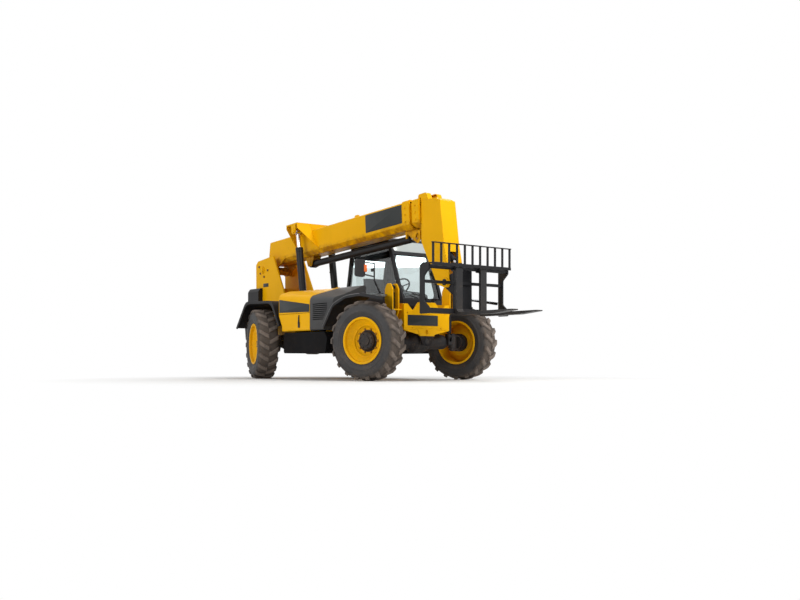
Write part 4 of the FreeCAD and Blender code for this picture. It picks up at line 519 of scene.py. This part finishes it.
PLATE_BLACK = coated(
    "plate_black", (0.016, 0.020, 0.020), 0.38, specular=0.3, drift=0.2, dust=0.15, grain=500.0
)
FRAME_PAINT = coated("frame_paint", YELLOW, patch=hanger_patch, **PAINT)
FORK_STEEL = coated(
    "fork_steel", (0.012, 0.012, 0.013), 0.36, specular=0.35, chips=1.0, rubbed=1.0,
    under=(0.16, 0.145, 0.13, 1.0), dust=0.2, reach=2.0,
)
# Pale grey for the strip along the mudguards' rounded edge: a painted highlight.
GUARD_HIGHLIGHT = coated("guard_highlight", (0.16, 0.16, 0.16), 0.45, drift=0.2, dust=0.2)
TANK_BLACK = coated(
    "tank_black", (0.005, 0.005, 0.006), 0.55, specular=0.06, drift=0.3, dust=0.06, chips=0.2
)
NUT_PAINT = coated(
    "nut_paint", (0.40, 0.19, 0.006), 0.5, specular=0.2, chips=1.0, under=(0.16, 0.06, 0.02, 1.0)
)
PIPE_BLACK = coated("pipe_black", (0.014, 0.014, 0.015), 0.35, specular=0.4, dust=0.25)
# Opaque pale grey in place of glass: the colour is a painted reflection.
GLASS_PAINTED_REFLECTION = coated("glass_painted_reflection", (0.42, 0.47, 0.47), 0.06, drift=0.08, dust=0.05, bump=0.0, coat=0.6)
ORANGE_LENS = coated("orange_lens", (0.72, 0.13, 0.01), 0.22, drift=0.1, dust=0.15, coat=0.5)
RUSTED_BOLT = coated("rusted_bolt", (0.20, 0.085, 0.03), 0.6, drift=0.4, dust=0.3, grain=300.0, bump=0.2)
NODE_FINISH = {  # CAD nodes that don't take their slot's common finish
    "boom_outer": BOOM_PAINT,
    "boom_mid": BOOM_PAINT,
    "chassis_frame": FRAME_PAINT,
    "forks": FORK_STEEL,
    "side_tanks": TANK_BLACK,
}


# Modelling steps

WELD_DISTANCE = 0.0002


def deselect():
    """Clears the selection of objects."""
    for item in list(bpy.context.selected_objects):
        item.select_set(False)


def start_piece(name, add, **values):
    """Adds a primitive with nothing else selected, applies its place and names it."""
    deselect()
    add(**values)
    piece = bpy.context.object
    piece.name = name
    piece.data.name = name
    bpy.ops.object.transform_apply(location=True, rotation=True, scale=True)
    return piece


def block(name, low, high):
    """A cube primitive stretched between two corners, ready to be shaped."""
    low, high = Vector(low), Vector(high)
    return start_piece(
        name, bpy.ops.mesh.primitive_cube_add, size=1.0, location=(low + high) / 2, scale=high - low
    )


def make_active(piece):
    """Makes the piece the active object and the only one selected."""
    deselect()
    piece.select_set(True)
    bpy.context.view_layer.objects.active = piece


def edit(piece, kind, test):
    """Edit mode with the vertices, edges or faces selected for which the test holds."""
    if bpy.context.mode != "OBJECT":
        bpy.ops.object.mode_set(mode="OBJECT")
    make_active(piece)
    bpy.ops.object.mode_set(mode="EDIT")
    bpy.ops.mesh.select_mode(type=kind)
    bpy.ops.mesh.select_all(action="DESELECT")
    bpy.ops.object.mode_set(mode="OBJECT")
    mesh = piece.data
    if kind == "VERT":
        for vertex in mesh.vertices:
            vertex.select = test(vertex.co)
    elif kind == "EDGE":
        for edge in mesh.edges:
            a, b = (mesh.vertices[i].co for i in edge.vertices)
            edge.select = test(a, b)
    else:
        for face in mesh.polygons:
            face.select = test(face)
    bpy.ops.object.mode_set(mode="EDIT")


def leave_edit(piece, smooth=35.0):
    """Object mode, with smooth shading over edges that turn by less than the angle in degrees."""
    bpy.ops.object.mode_set(mode="OBJECT")
    make_active(piece)
    bpy.ops.object.shade_smooth_by_angle(angle=math.radians(smooth))


def along(axis):
    """Test for edges that run along one axis."""
    return lambda a, b: abs((b - a).normalized()[axis]) > 0.99


def facing(axis):
    """Test for faces that look along one axis, either way."""
    return lambda face: abs(face.normal[axis]) > 0.99


def ease_rim(offset):
    """Bevels the rim of the selected faces."""
    bpy.ops.mesh.region_to_loop()
    bpy.ops.mesh.bevel(offset=offset, segments=2, affect="EDGES")


def bevel_all(piece, offset, segments):
    """Rounds every edge of the piece and stays in edit mode."""
    edit(piece, "EDGE", lambda a, b: True)
    bpy.ops.mesh.bevel(offset=offset, segments=segments, affect="EDGES")


def rounded_plate(name, low, high, axis, corner, edge):
    """A plate whose corners are rounded in its own plane and whose rim is eased."""
    piece = block(name, low, high)
    edit(piece, "EDGE", along(axis))
    bpy.ops.mesh.bevel(offset=corner, segments=4, affect="EDGES", clamp_overlap=True)
    edit(piece, "FACE", facing(axis))
    ease_rim(edge)
    leave_edit(piece)
    return piece


def turned_piece(name, profile, steps):
    """A ring turned about the Y axis from the (radius, y) corners of its section."""
    piece = start_piece(name, bpy.ops.mesh.primitive_plane_add, size=0.001)
    edit(piece, "VERT", lambda co: True)
    bpy.ops.mesh.merge(type="CENTER")
    here = Vector((0.0, 0.0, 0.0))
    for i, (radius, y) in enumerate([*profile, profile[0]]):
        there = Vector((radius, y, 0.0))
        if i == 0:
            bpy.ops.transform.translate(value=there - here)
        else:
            bpy.ops.mesh.extrude_vertices_move(TRANSFORM_OT_translate={"value": there - here})
        here = there
    bpy.ops.mesh.select_all(action="SELECT")
    bpy.ops.mesh.spin(steps=steps, angle=2 * math.pi, center=(0.0, 0.0, 0.0), axis=(0.0, 1.0, 0.0))
    bpy.ops.mesh.select_all(action="SELECT")
    bpy.ops.mesh.remove_doubles(threshold=WELD_DISTANCE)
    bpy.ops.mesh.normals_make_consistent(inside=False)
    leave_edit(piece)
    return piece


def copy_of(piece, name, matrix):
    """A copy with its own mesh, moved by the matrix and turned right side out."""
    twin = bpy.data.objects.new(name, piece.data.copy())
    twin.data.name = name
    scene.collection.objects.link(twin)
    twin.data.transform(matrix)
    if matrix.determinant() < 0:
        twin.data.flip_normals()
    return twin


def drop(piece):
    """Removes a piece that was only there to be copied."""
    mesh = piece.data
    bpy.data.objects.remove(piece)
    bpy.data.meshes.remove(mesh)


def gather(pieces, name):
    """Joins pieces into one named piece."""
    deselect()
    for piece in pieces:
        piece.select_set(True)
    bpy.context.view_layer.objects.active = pieces[0]
    bpy.ops.object.join()
    pieces[0].name = name
    pieces[0].data.name = name
    return pieces[0]


def settle(piece, body, material):
    """Gives a finished piece its material and the body it rides on."""
    piece.data.materials.append(material)
    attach(piece, body)


def round_bar(name, start, end, radius):
    """A round bar between two points with eased ends."""
    start, end = Vector(start), Vector(end)
    bar = start_piece(
        name, bpy.ops.mesh.primitive_cylinder_add, vertices=12, radius=radius, depth=(end - start).length
    )
    edit(bar, "FACE", facing(2))
    ease_rim(radius * 0.3)
    leave_edit(bar)
    turn = (end - start).to_track_quat("Z", "Y").to_matrix().to_4x4()
    bar.data.transform(Matrix.Translation((start + end) / 2) @ turn)
    return bar


def seated(node, start, direction):
    """Where a ray from a machine point meets a CAD node, and the surface's outward direction there."""
    start, direction = MACHINE_FRAME @ Vector(start), Vector(direction).normalized()
    hit, place, normal, _ = NODES[node].ray_cast(start, direction)
    if not hit:
        raise ValueError(f"no surface of {node} from {tuple(start)}")
    return place, (normal if normal.dot(direction) < 0 else -normal)


# Tyres

TREAD_RADIUS = 0.605
LUG_PAIRS = 18
LUG_SECTIONS = [  # place along the axle, place round the tread, crown radius
    (0.010, -0.047, 0.6325),
    (0.060, -0.024, 0.6335),
    (0.110, 0.006, 0.6335),
    (0.152, 0.036, 0.6300),
    (0.172, 0.047, 0.6180),
    (0.183, 0.050, 0.5900),
]
LUG_WIDTH = 0.066
LUG_FOOT = 0.575  # radius
FOOT_TOP = 0.579  # radius between the foot's points and all others
FIRST_SLICE = 0.004
LUG_EASE = 0.005
FOOT_SPREAD = 1.4  # a lug's width at its foot over its width at the crown
LOWEST_CORNER = (0.631, 0.070)  # where a lug of the solids reaches furthest: down and round the tread
TYRE_STEPS = 80
TREAD_MARKS = [("tread", 0.560, 0.595), ("crown", 0.606, 0.628)]  # name, radii of its 0 and its 1
TYRE_PROFILE = [  # radius, place along the axle: one half from the bead to the tread's middle
    (0.351, 0.140),
    (0.368, 0.149),
    (0.384, 0.150),
    (0.392, 0.158),
    (0.412, 0.163),
    (0.418, 0.170),
    (0.450, 0.180),
    (0.453, 0.184),
    (0.462, 0.1845),
    (0.466, 0.182),
    (0.505, 0.1835),
    (0.545, 0.179),
    (0.573, 0.168),
    (0.592, 0.152),
    (0.603, 0.128),
    (0.606, 0.070),
]


def tread_lug():
    """One slanted lug of the left half, run out along the axle section by section."""
    y, around, crown = LUG_SECTIONS[0]
    half = LUG_WIDTH / 2
    lug = block("lug", (LUG_FOOT, y - FIRST_SLICE, around - half), (crown, y, around + half))
    for next_y, next_around, next_crown in LUG_SECTIONS[1:]:
        edit(lug, "FACE", lambda face: face.normal.y > 0.5 and face.center.y > y - 0.001)
        step = Vector((0.0, next_y - y, next_around - around))
        bpy.ops.mesh.extrude_region_move(TRANSFORM_OT_translate={"value": step})
        share = (next_crown - LUG_FOOT) / (crown - LUG_FOOT)
        foot = (LUG_FOOT, next_y, next_around)
        bpy.ops.transform.resize(value=(share, 1.0, 1.0), center_override=foot)
        y, around, crown = next_y, next_around, next_crown
    bpy.ops.object.mode_set(mode="OBJECT")
    return lug


def wrap_lug(lug):
    """Lays the lug on the tread's curve, widens its foot and eases its crown."""
    for vertex in lug.data.vertices:
        radius, around = vertex.co.x, vertex.co.z
        if radius < FOOT_TOP:
            middle = min(LUG_SECTIONS, key=lambda s: abs(s[0] - vertex.co.y))[1]
            around = middle + (around - middle) * FOOT_SPREAD
        angle = around / TREAD_RADIUS
        vertex.co.x, vertex.co.z = radius * math.cos(angle), radius * math.sin(angle)
    edit(lug, "EDGE", lambda a, b: min(a.xz.length, b.xz.length) > FOOT_TOP)
    bpy.ops.mesh.bevel(offset=LUG_EASE, segments=2, affect="EDGES")
    leave_edit(lug, 30.0)


def mark_tread(tyre):
    """Writes how far each point belongs to the tread, and how far up a lug it is, from 0 to 1."""
    for label, low, high in TREAD_MARKS:
        mark = tyre.data.attributes.new(label, "FLOAT", "POINT")
        for vertex, value in zip(tyre.data.vertices, mark.data):
            radius = math.hypot(vertex.co.x, vertex.co.z)
            value.value = min(max((radius - low) / (high - low), 0.0), 1.0)


def tyres():
    profile = TYRE_PROFILE + [(radius, -y) for radius, y in reversed(TYRE_PROFILE)]
    parts = [turned_piece("carcass", profile, TYRE_STEPS)]
    lug = tread_lug()
    wrap_lug(lug)
    flip = Matrix.Diagonal((1.0, -1.0, 1.0, 1.0))
    pitch = 2 * math.pi / LUG_PAIRS
    down, round_tread = LOWEST_CORNER
    stand = math.pi / 2 - math.atan2(round_tread, down)
    for k in range(LUG_PAIRS):
        for start, side in ((0.0, Matrix.Identity(4)), (0.5, flip)):
            turn = Matrix.Rotation((k + start) * pitch + stand, 4, "Y")
            parts.append(copy_of(lug, f"lug_{k}_{start}", turn @ side))
    drop(lug)
    tyre = gather(parts, "tyre_master")
    mark_tread(tyre)
    for corner in CORNERS:
        piece = copy_of(tyre, f"treaded_tyre_{corner}", wheel_frame(corner))
        settle(piece, f"wheel_{corner}", MATERIALS["tyre_rubber"])
        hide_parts(f"tyre_{corner}")
    drop(tyre)


# Bolts, nuts and wheel rings


def hex_bolt():
    """A hexagon bolt head on its washer, standing on the Y axis at the origin, 1 across the corners."""
    washer = start_piece(
        "washer", bpy.ops.mesh.primitive_cylinder_add, vertices=18, radius=0.62, depth=0.12,
        location=(0.0, 0.06, 0.0), rotation=(math.pi / 2, 0.0, 0.0),
    )
    head = start_piece(
        "head", bpy.ops.mesh.primitive_cylinder_add, vertices=6, radius=0.5, depth=0.40,
        location=(0.0, 0.31, 0.0), rotation=(math.pi / 2, 0.0, 0.0),
    )
    edit(head, "FACE", lambda face: face.normal.y > 0.9)
    bpy.ops.mesh.inset(thickness=0.06)
    bpy.ops.transform.translate(value=(0.0, 0.05, 0.0))
    leave_edit(head, 25.0)
    return gather([washer, head], "bolt_master")


def bolt_ring(bolt, name, body, material, spots):
    """Copies of the bolt at (place, direction, width) spots, as one piece."""
    heads = []
    for place, direction, width in spots:
        turn = Vector(direction).to_track_quat("Y", "Z").to_matrix().to_4x4()
        matrix = Matrix.Translation(place) @ turn @ Matrix.Scale(width, 4)
        heads.append(copy_of(bolt, "head", matrix))
    piece = gather(heads, name)
    settle(piece, body, material)


RIM_DISC_FACE = -0.004
RIM_CONE_FOOT = 0.203  # radius where the rim's cone leaves its disc
RIM_CONE_SLOPE = 0.853
RING_STEPS = 64
HUB_FACE = 0.068
HUB_RADIUS = 0.1505  # the rim's faces within it are the hub's
WHEEL_BOLTS = [  # name, slot, material, count, share of a step turned, circle, face, width
    ("wheel_nuts", "yellow_paint", NUT_PAINT, 10, 0.0, 0.190, RIM_DISC_FACE, 0.034),
    ("hub_bolts", "cast_iron", MATERIALS["cast_iron"], 8, 0.5, 0.112, HUB_FACE, 0.022),
]
FLANGE_SECTION = [
    (0.1495, -0.006), (0.1495, 0.010), (0.153, 0.014), (0.170, 0.014), (0.174, 0.010), (0.174, -0.006),
]
BEAD_SECTION = [  # radius, place over the rim's cone
    (0.232, -0.003), (0.233, 0.006), (0.238, 0.012), (0.248, 0.012), (0.256, 0.006), (0.260, -0.003),
]
TOWER_BOLTS = [(-2.965, 2.190), (-2.920, 2.060), (-2.640, 2.105), (-2.780, 1.985)]
TOWER_BOLT_WIDTH = 0.036
NOSE_BOLTS = [(-0.400, 1.100), (0.380, 1.100), (-0.300, 0.850), (0.300, 0.850)]
NOSE_BOLT_WIDTH = 0.026
COLLAR_BOLTS = [  # name, node, body, place along the boom
    ("outer_collar_bolts", "boom_outer", "boom", 4.410),
    ("mid_collar_bolts", "boom_mid", "boom_middle", 4.660),
]
COLLAR_BOLT_HEIGHTS = (0.215, 0.330, 0.445)
COLLAR_BOLT_WIDTH = 0.028


def wheel_rings():
    """The flange round each hub, under the wheel nuts' inner edge, and the raised bead on the rim's cone."""
    bead = [
        (radius, y + RIM_DISC_FACE + (radius - RIM_CONE_FOOT) * RIM_CONE_SLOPE) for radius, y in BEAD_SECTION
    ]
    for name, section, slot in (
        ("hub_ring", FLANGE_SECTION, "cast_iron"),
        ("disc_bead", bead, "yellow_paint"),
    ):
        ring = turned_piece(name, section, RING_STEPS)
        for corner in CORNERS:
            piece = copy_of(ring, f"{name}_{corner}", wheel_frame(corner))
            settle(piece, f"wheel_{corner}", MATERIALS[slot])
        drop(ring)


def bolts_and_nuts():
    bolt = hex_bolt()
    for corner in CORNERS:
        matrix = wheel_frame(corner)
        out = (matrix.to_3x3() @ Vector((0.0, 1.0, 0.0))).normalized()
        for name, slot, material, count, turned, circle, face, width in WHEEL_BOLTS:
            spots = []
            for k in range(count):
                a = 2 * math.pi * (k + turned) / count
                spot = Vector((math.cos(a) * circle, face, math.sin(a) * circle))
                spots.append((matrix @ spot, out, width))
            bolt_ring(bolt, f"{name}_{corner}", f"wheel_{corner}", material, spots)
    spots = [seated("boom_tower", (x, -0.60, z), (0, 1, 0)) + (TOWER_BOLT_WIDTH,) for x, z in TOWER_BOLTS]
    bolt_ring(bolt, "tower_bolts", "chassis", RUSTED_BOLT, spots)
    spots = [seated("chassis_frame", (2.2, y, z), (-1, 0, 0)) + (NOSE_BOLT_WIDTH,) for y, z in NOSE_BOLTS]
    bolt_ring(bolt, "nose_bolts", "chassis", MATERIALS["yellow_paint"], spots)
    for name, node, body, s_place in COLLAR_BOLTS:
        spots = []
        for side in (-1, 1):
            for height in COLLAR_BOLT_HEIGHTS:
                start = MACHINE_FRAME.inverted() @ BOOM_FRAME @ Vector((s_place, side * 0.5, height))
                spots.append(seated(node, start, (0, -side, 0)) + (COLLAR_BOLT_WIDTH,))
        bolt_ring(bolt, name, body, MATERIALS["yellow_paint"], spots)
    drop(bolt)


# Blank sign plates and the boom's lug

PLATE_RIM = 0.001  # the easing of every plate's rim


def hood_plate():
    """The hood's plate, lower towards the front, with its outer rim eased."""
    plate = block("hood_plate", (-0.835, -1.1740, 1.150), (0.145, -1.1695, 1.400))
    edit(plate, "VERT", lambda co: co.x > 0.0 and co.z > 1.3)
    bpy.ops.transform.translate(value=(0.0, 0.0, -0.120))
    edit(plate, "VERT", lambda co: co.x < 0.0 and co.z < 1.3)
    bpy.ops.transform.translate(value=(0.0, 0.0, 0.020))
    edit(plate, "EDGE", along(1))
    bpy.ops.mesh.bevel(offset=0.012, segments=4, affect="EDGES")
    edit(plate, "FACE", lambda face: face.normal.y < -0.99)
    ease_rim(PLATE_RIM)
    leave_edit(plate)
    return plate


def blank_plates():
    """Bare plates at the places of the signs on the boom, nose, hood and tower."""
    boom = rounded_plate(
        "boom_plate", (3.29, -0.2035, 0.212), (4.31, -0.2000, 0.520), 1, 0.012, PLATE_RIM
    )
    nose = rounded_plate(
        "nose_plate", (1.849, -0.400, 0.890), (1.8535, 0.230, 1.060), 0, 0.010, PLATE_RIM
    )
    hood = hood_plate()
    tower = rounded_plate(
        "tower_plate", (-2.815, -0.3530, 1.780), (-2.615, -0.3495, 1.852), 1, 0.008, PLATE_RIM
    )
    for plate, body, matrix in (
        (boom, "boom", BOOM_FRAME),
        (nose, "chassis", MACHINE_FRAME),
        (hood, "hood", MACHINE_FRAME),
        (tower, "chassis", MACHINE_FRAME),
    ):
        plate.data.transform(matrix)
        settle(plate, body, PLATE_BLACK)


def boom_lug():
    """The small lifting lug on top of the boom's outer section."""
    foot, _ = seated("boom_outer", (0.030, -0.100, 3.200), (0, 0, -1))
    lug = block("boom_lug", (-0.065, -0.012, -0.006), (0.065, 0.012, 0.055))
    edit(lug, "EDGE", lambda a, b: along(1)(a, b) and a.z > 0.0)
    bpy.ops.mesh.bevel(offset=0.035, segments=5, affect="EDGES")
    edit(lug, "FACE", facing(1))
    ease_rim(0.002)
    leave_edit(lug)
    lug.data.transform(Matrix.Translation(foot) @ Matrix.Rotation(-BOOM_TILT, 4, "Y"))
    settle(lug, "boom", MATERIALS["yellow_paint"])


# Cab and mirror pieces

SCREEN_FOOT = Vector((0.860, 0.730, 1.390))
SCREEN_HEAD = Vector((0.545, 0.730, 2.240))
ROOF_EDGE = Vector((0.420, 0.730, 2.500))


def slope_frame(foot, head):
    """A frame on a raked panel: X up the slope, Y across the cab, Z straight out of it."""
    up = (head - foot).normalized()
    out = Vector((0.0, 1.0, 0.0)).cross(up).normalized()
    across = out.cross(up)
    turn = Matrix((up, across, out)).transposed().to_4x4()
    return MACHINE_FRAME @ Matrix.Translation(foot) @ turn


def windscreen_top():
    """The windscreen's upper pane, which follows the roof's front slope, opaque and pale grey as a painted
    reflection on the glass.
    """
    pane = rounded_plate(
        "windscreen_top_pane", (0.010, -0.400, -0.002), (0.214, 0.400, 0.004), 2, 0.035, 0.002
    )
    pane.data.transform(slope_frame(SCREEN_HEAD, ROOF_EDGE))
    settle(pane, "chassis", GLASS_PAINTED_REFLECTION)


def wiper():
    """Arm, pivot and blade at rest low on the windscreen."""
    pivot = round_bar("pivot", (0.020, -0.060, -0.004), (0.020, -0.060, 0.034), 0.016)
    arm = block("arm", (0.012, -0.060, 0.022), (0.028, 0.240, 0.030))
    edit(arm, "VERT", lambda co: co.y > 0.1)
    bpy.ops.transform.translate(value=(0.090, 0.0, -0.004))
    bpy.ops.transform.resize(value=(0.6, 1.0, 1.0))
    leave_edit(arm)
    blade = block("blade", (0.118, -0.020, 0.006), (0.128, 0.360, 0.024))
    edit(blade, "FACE", lambda face: face.normal.z < -0.9)
    bpy.ops.transform.resize(value=(0.3, 0.98, 1.0))
    leave_edit(blade)
    blade.data.transform(Matrix.Translation((-0.006, 0, 0)) @ Matrix.Rotation(-0.06, 4, "Z"))
    piece = gather([pivot, arm, blade], "windscreen_wiper")
    piece.data.transform(slope_frame(SCREEN_FOOT, SCREEN_HEAD))
    settle(piece, "chassis", MATERIALS["plastic"])


def mirror_lamp():
    """The orange lamp on the mirror case's inner edge."""
    lens = block("mirror_lamp", (1.596, -1.112, 1.722), (1.652, -1.052, 1.842))
    bevel_all(lens, 0.014, 4)
    leave_edit(lens, 60.0)
    lens.data.transform(MACHINE_FRAME)
    settle(lens, "chassis", ORANGE_LENS)


def housing_latch():
    """The black latch on the engine housing's side: a tapered lever over its base."""
    base = block("base", (-0.205, -1.186, 0.890), (-0.155, -1.169, 0.985))
    edit(base, "EDGE", lambda a, b: max(a.y, b.y) < -1.18 or along(1)(a, b))
    bpy.ops.mesh.bevel(offset=0.006, segments=3, affect="EDGES")
    leave_edit(base)
    lever = block("lever", (-0.196, -1.194, 0.960), (-0.164, -1.176, 1.110))
    edit(lever, "VERT", lambda co: co.z > 1.05)
    bpy.ops.transform.resize(value=(0.45, 1.0, 1.0))
    bpy.ops.transform.translate(value=(0.0, 0.008, 0.0))
    bevel_all(lever, 0.004, 2)
    leave_edit(lever)
    piece = gather([base, lever], "housing_latch")
    piece.data.transform(MACHINE_FRAME)
    settle(piece, "chassis", MATERIALS["plastic"])


# Rigid pipes, and the painted highlight strips on the mudguards


def bent_pipe(name, points, radius, matrix):
    """A rigid pipe along a smooth line drawn to the points, moved by the matrix."""
    curve = bpy.data.curves.new(name, "CURVE")
    curve.dimensions = "3D"
    curve.bevel_depth = radius
    curve.bevel_resolution = 3
    curve.resolution_u = 4
    curve.use_fill_caps = True
    line = curve.splines.new("NURBS")
    line.points.add(len(points) - 1)
    for spot, point in zip(line.points, points):
        spot.co = (*point, 1.0)
    line.order_u = 3
    line.use_endpoint_u = True
    piece = bpy.data.objects.new(name, curve)
    scene.collection.objects.link(piece)
    make_active(piece)
    bpy.ops.object.convert(target="MESH")
    piece = bpy.context.object
    piece.name = name
    leave_edit(piece, 40.0)
    piece.data.transform(matrix)
    return piece


LIFT_FOOT = Vector((-1.205, 0.0, 0.750))
LIFT_EYE = Vector((-1.520, 0.0, 2.750))
LIFT_Y = 0.360
PIPE_RADIUS = 0.011
PIPE_LINE = [  # distance behind the barrel's axis, sideways, up the barrel
    (0.060, 0, 0.200), (0.086, 0, 0.200), (0.090, 0, 0.230), (0.090, 0, 0.300),
    (0.090, 0, 1.560), (0.090, 0, 1.630), (0.086, 0, 1.655), (0.060, 0, 1.655),
]
CLAMP_HEIGHTS = (0.620, 1.300)
GUARD_LINE = [  # machine x and z along a front mudguard's edge
    (0.592, 0.905), (0.700, 1.040), (0.830, 1.200), (0.905, 1.262),
    (1.060, 1.312), (1.240, 1.366), (1.440, 1.380), (1.640, 1.384),
]
GUARD_EDGE_Y = 1.197
# Radius of the painted highlight strip, and its drop below the edge
GUARD_HIGHLIGHT_RADIUS = 0.0055
GUARD_HIGHLIGHT_DROP = 0.003


def lift_pipes():
    """The steel feed pipe along the back of each lift cylinder's barrel, with its two clamps."""
    up = (LIFT_EYE - LIFT_FOOT).normalized()
    back = Vector((-up.z, 0.0, up.x))
    turn = Matrix((back, up.cross(back), up)).transposed().to_4x4()
    for side, label in ((-1, "right"), (1, "left")):
        place = MACHINE_FRAME @ Matrix.Translation(LIFT_FOOT + Vector((0.0, side * LIFT_Y, 0.0))) @ turn
        parts = [bent_pipe("pipe", PIPE_LINE, PIPE_RADIUS, Matrix.Identity(4))]
        for z in CLAMP_HEIGHTS:
            clamp = block("clamp", (0.058, -0.018, z - 0.014), (0.106, 0.018, z + 0.014))
            bevel_all(clamp, 0.004, 2)
            leave_edit(clamp)
            parts.append(clamp)
        piece = gather(parts, f"lift_pipe_{label}")
        piece.data.transform(place)
        settle(piece, f"lift_ram_barrel_{label}", PIPE_BLACK)


def guard_highlight_strips():
    """A pale strip along the front mudguards' outer edge: a painted highlight on the rounded edge."""
    for side, label in ((-1, "right"), (1, "left")):
        points = [(x, side * GUARD_EDGE_Y, z - GUARD_HIGHLIGHT_DROP) for x, z in GUARD_LINE]
        bead = bent_pipe(f"guard_highlight_strip_{label}", points, GUARD_HIGHLIGHT_RADIUS, MACHINE_FRAME)
        settle(bead, "chassis", GUARD_HIGHLIGHT)


# Seat pads

SEAT_X, SEAT_Y, SEAT_Z = -0.330, 0.730, 1.330
BACK_LEAN = -math.atan2(0.0791, 0.493)
PADS = [  # name, low and high corner from the seat's place, lean, sewn channels across
    ("seat_pad", (-0.190, -0.216, -0.058), (0.226, 0.216, 0.010), 0.0, (-0.135, 0.135)),
    ("back_pad", (-0.226, -0.211, 0.052), (-0.152, 0.211, 0.520), BACK_LEAN, (-0.125, 0.125)),
]
PAD_EDGE = 0.022
PAD_VOXEL = 0.010
SEAM_HALF = 0.006
SWELL_PRESSURE = 4.0
SWELL_FRAMES = 20
SWELL_LIMIT = 0.014


def swell(pad):
    """Blows the pad up as cloth that is held at its seams, by SWELL_LIMIT at most."""
    start = [v.co.copy() for v in pad.data.vertices]
    cloth = pad.modifiers.new("cloth", "CLOTH")
    cloth.settings.use_pressure = True
    cloth.settings.uniform_pressure_force = SWELL_PRESSURE
    cloth.settings.vertex_group_mass = "sewn"
    cloth.settings.effector_weights.gravity = 0.0
    cloth.point_cache.frame_start = 1
    cloth.point_cache.frame_end = SWELL_FRAMES
    for frame_number in range(1, SWELL_FRAMES + 1):
        scene.frame_set(frame_number)
    make_active(pad)
    bpy.ops.object.modifier_apply(modifier="cloth")
    scene.frame_set(1)
    for vertex, before in zip(pad.data.vertices, start):
        moved = vertex.co - before
        if moved.length > SWELL_LIMIT:
            vertex.co = before + moved.normalized() * SWELL_LIMIT


def swollen_pad(name, low, high, lean, channels):
    """A pad sewn along its channels and blown up, then leaned back about its lower edge."""
    pad = block(name, low, high)
    bevel_all(pad, PAD_EDGE, 3)
    bpy.ops.object.mode_set(mode="OBJECT")
    make_active(pad)
    remesh = pad.modifiers.new("even_mesh", "REMESH")
    remesh.mode = "VOXEL"
    remesh.voxel_size = PAD_VOXEL
    bpy.ops.object.modifier_apply(modifier="even_mesh")
    sewn = pad.vertex_groups.new(name="sewn")
    held = [
        v.index for v in pad.data.vertices if min(abs(v.co.y - SEAT_Y - c) for c in channels) < SEAM_HALF
    ]
    sewn.add(held, 1.0, "REPLACE")
    swell(pad)
    pad.vertex_groups.clear()
    smoother = pad.modifiers.new("rounder", "SUBSURF")
    smoother.levels = smoother.render_levels = 1
    bpy.ops.object.modifier_apply(modifier="rounder")
    for face in pad.data.polygons:
        face.use_smooth = True
    hinge = Vector((low[0], 0.0, low[2]))
    back = Matrix.Translation(hinge) @ Matrix.Rotation(lean, 4, "Y") @ Matrix.Translation(-hinge)
    pad.data.transform(MACHINE_FRAME @ back)
    settle(pad, "chassis", MATERIALS["seat_fabric"])
    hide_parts("seat_cushions")


def seat_pads():
    seat = (SEAT_X, SEAT_Y, SEAT_Z)
    for name, low, high, lean, channels in PADS:
        low = [s + d for s, d in zip(seat, low)]
        high = [s + d for s, d in zip(seat, high)]
        swollen_pad(name, low, high, lean, channels)


# The CAD's own nodes and the whole picture


def dress_cad_nodes():
    """Gives every CAD node its slot's finish or its own, and the hub part of each rim cast iron."""
    slot_of = {s["node"]: s["material_slot"] for s in frame["record"]["subparts"]}
    for name, node in NODES.items():
        node.data.materials.clear()
        node.data.materials.append(NODE_FINISH.get(name, MATERIALS[slot_of[name]]))
    for corner in CORNERS:
        rim = NODES[f"rim_{corner}"]
        rim.data.materials.append(MATERIALS["cast_iron"])
        to_wheel = wheel_frame(corner).inverted()
        for face in rim.data.polygons:
            centre = to_wheel @ face.center
            face.material_index = 1 if math.hypot(centre.x, centre.z) < HUB_RADIUS else 0


def main():
    scene.view_settings.view_transform = "Standard"
    set_camera()
    set_world()
    add_floor()
    for light in LIGHTS:
        add_area_light(*light)
    dress_cad_nodes()
    tyres()
    wheel_rings()
    bolts_and_nuts()
    blank_plates()
    boom_lug()
    windscreen_top()
    wiper()
    mirror_lamp()
    housing_latch()
    lift_pipes()
    guard_highlight_strips()
    seat_pads()


main()
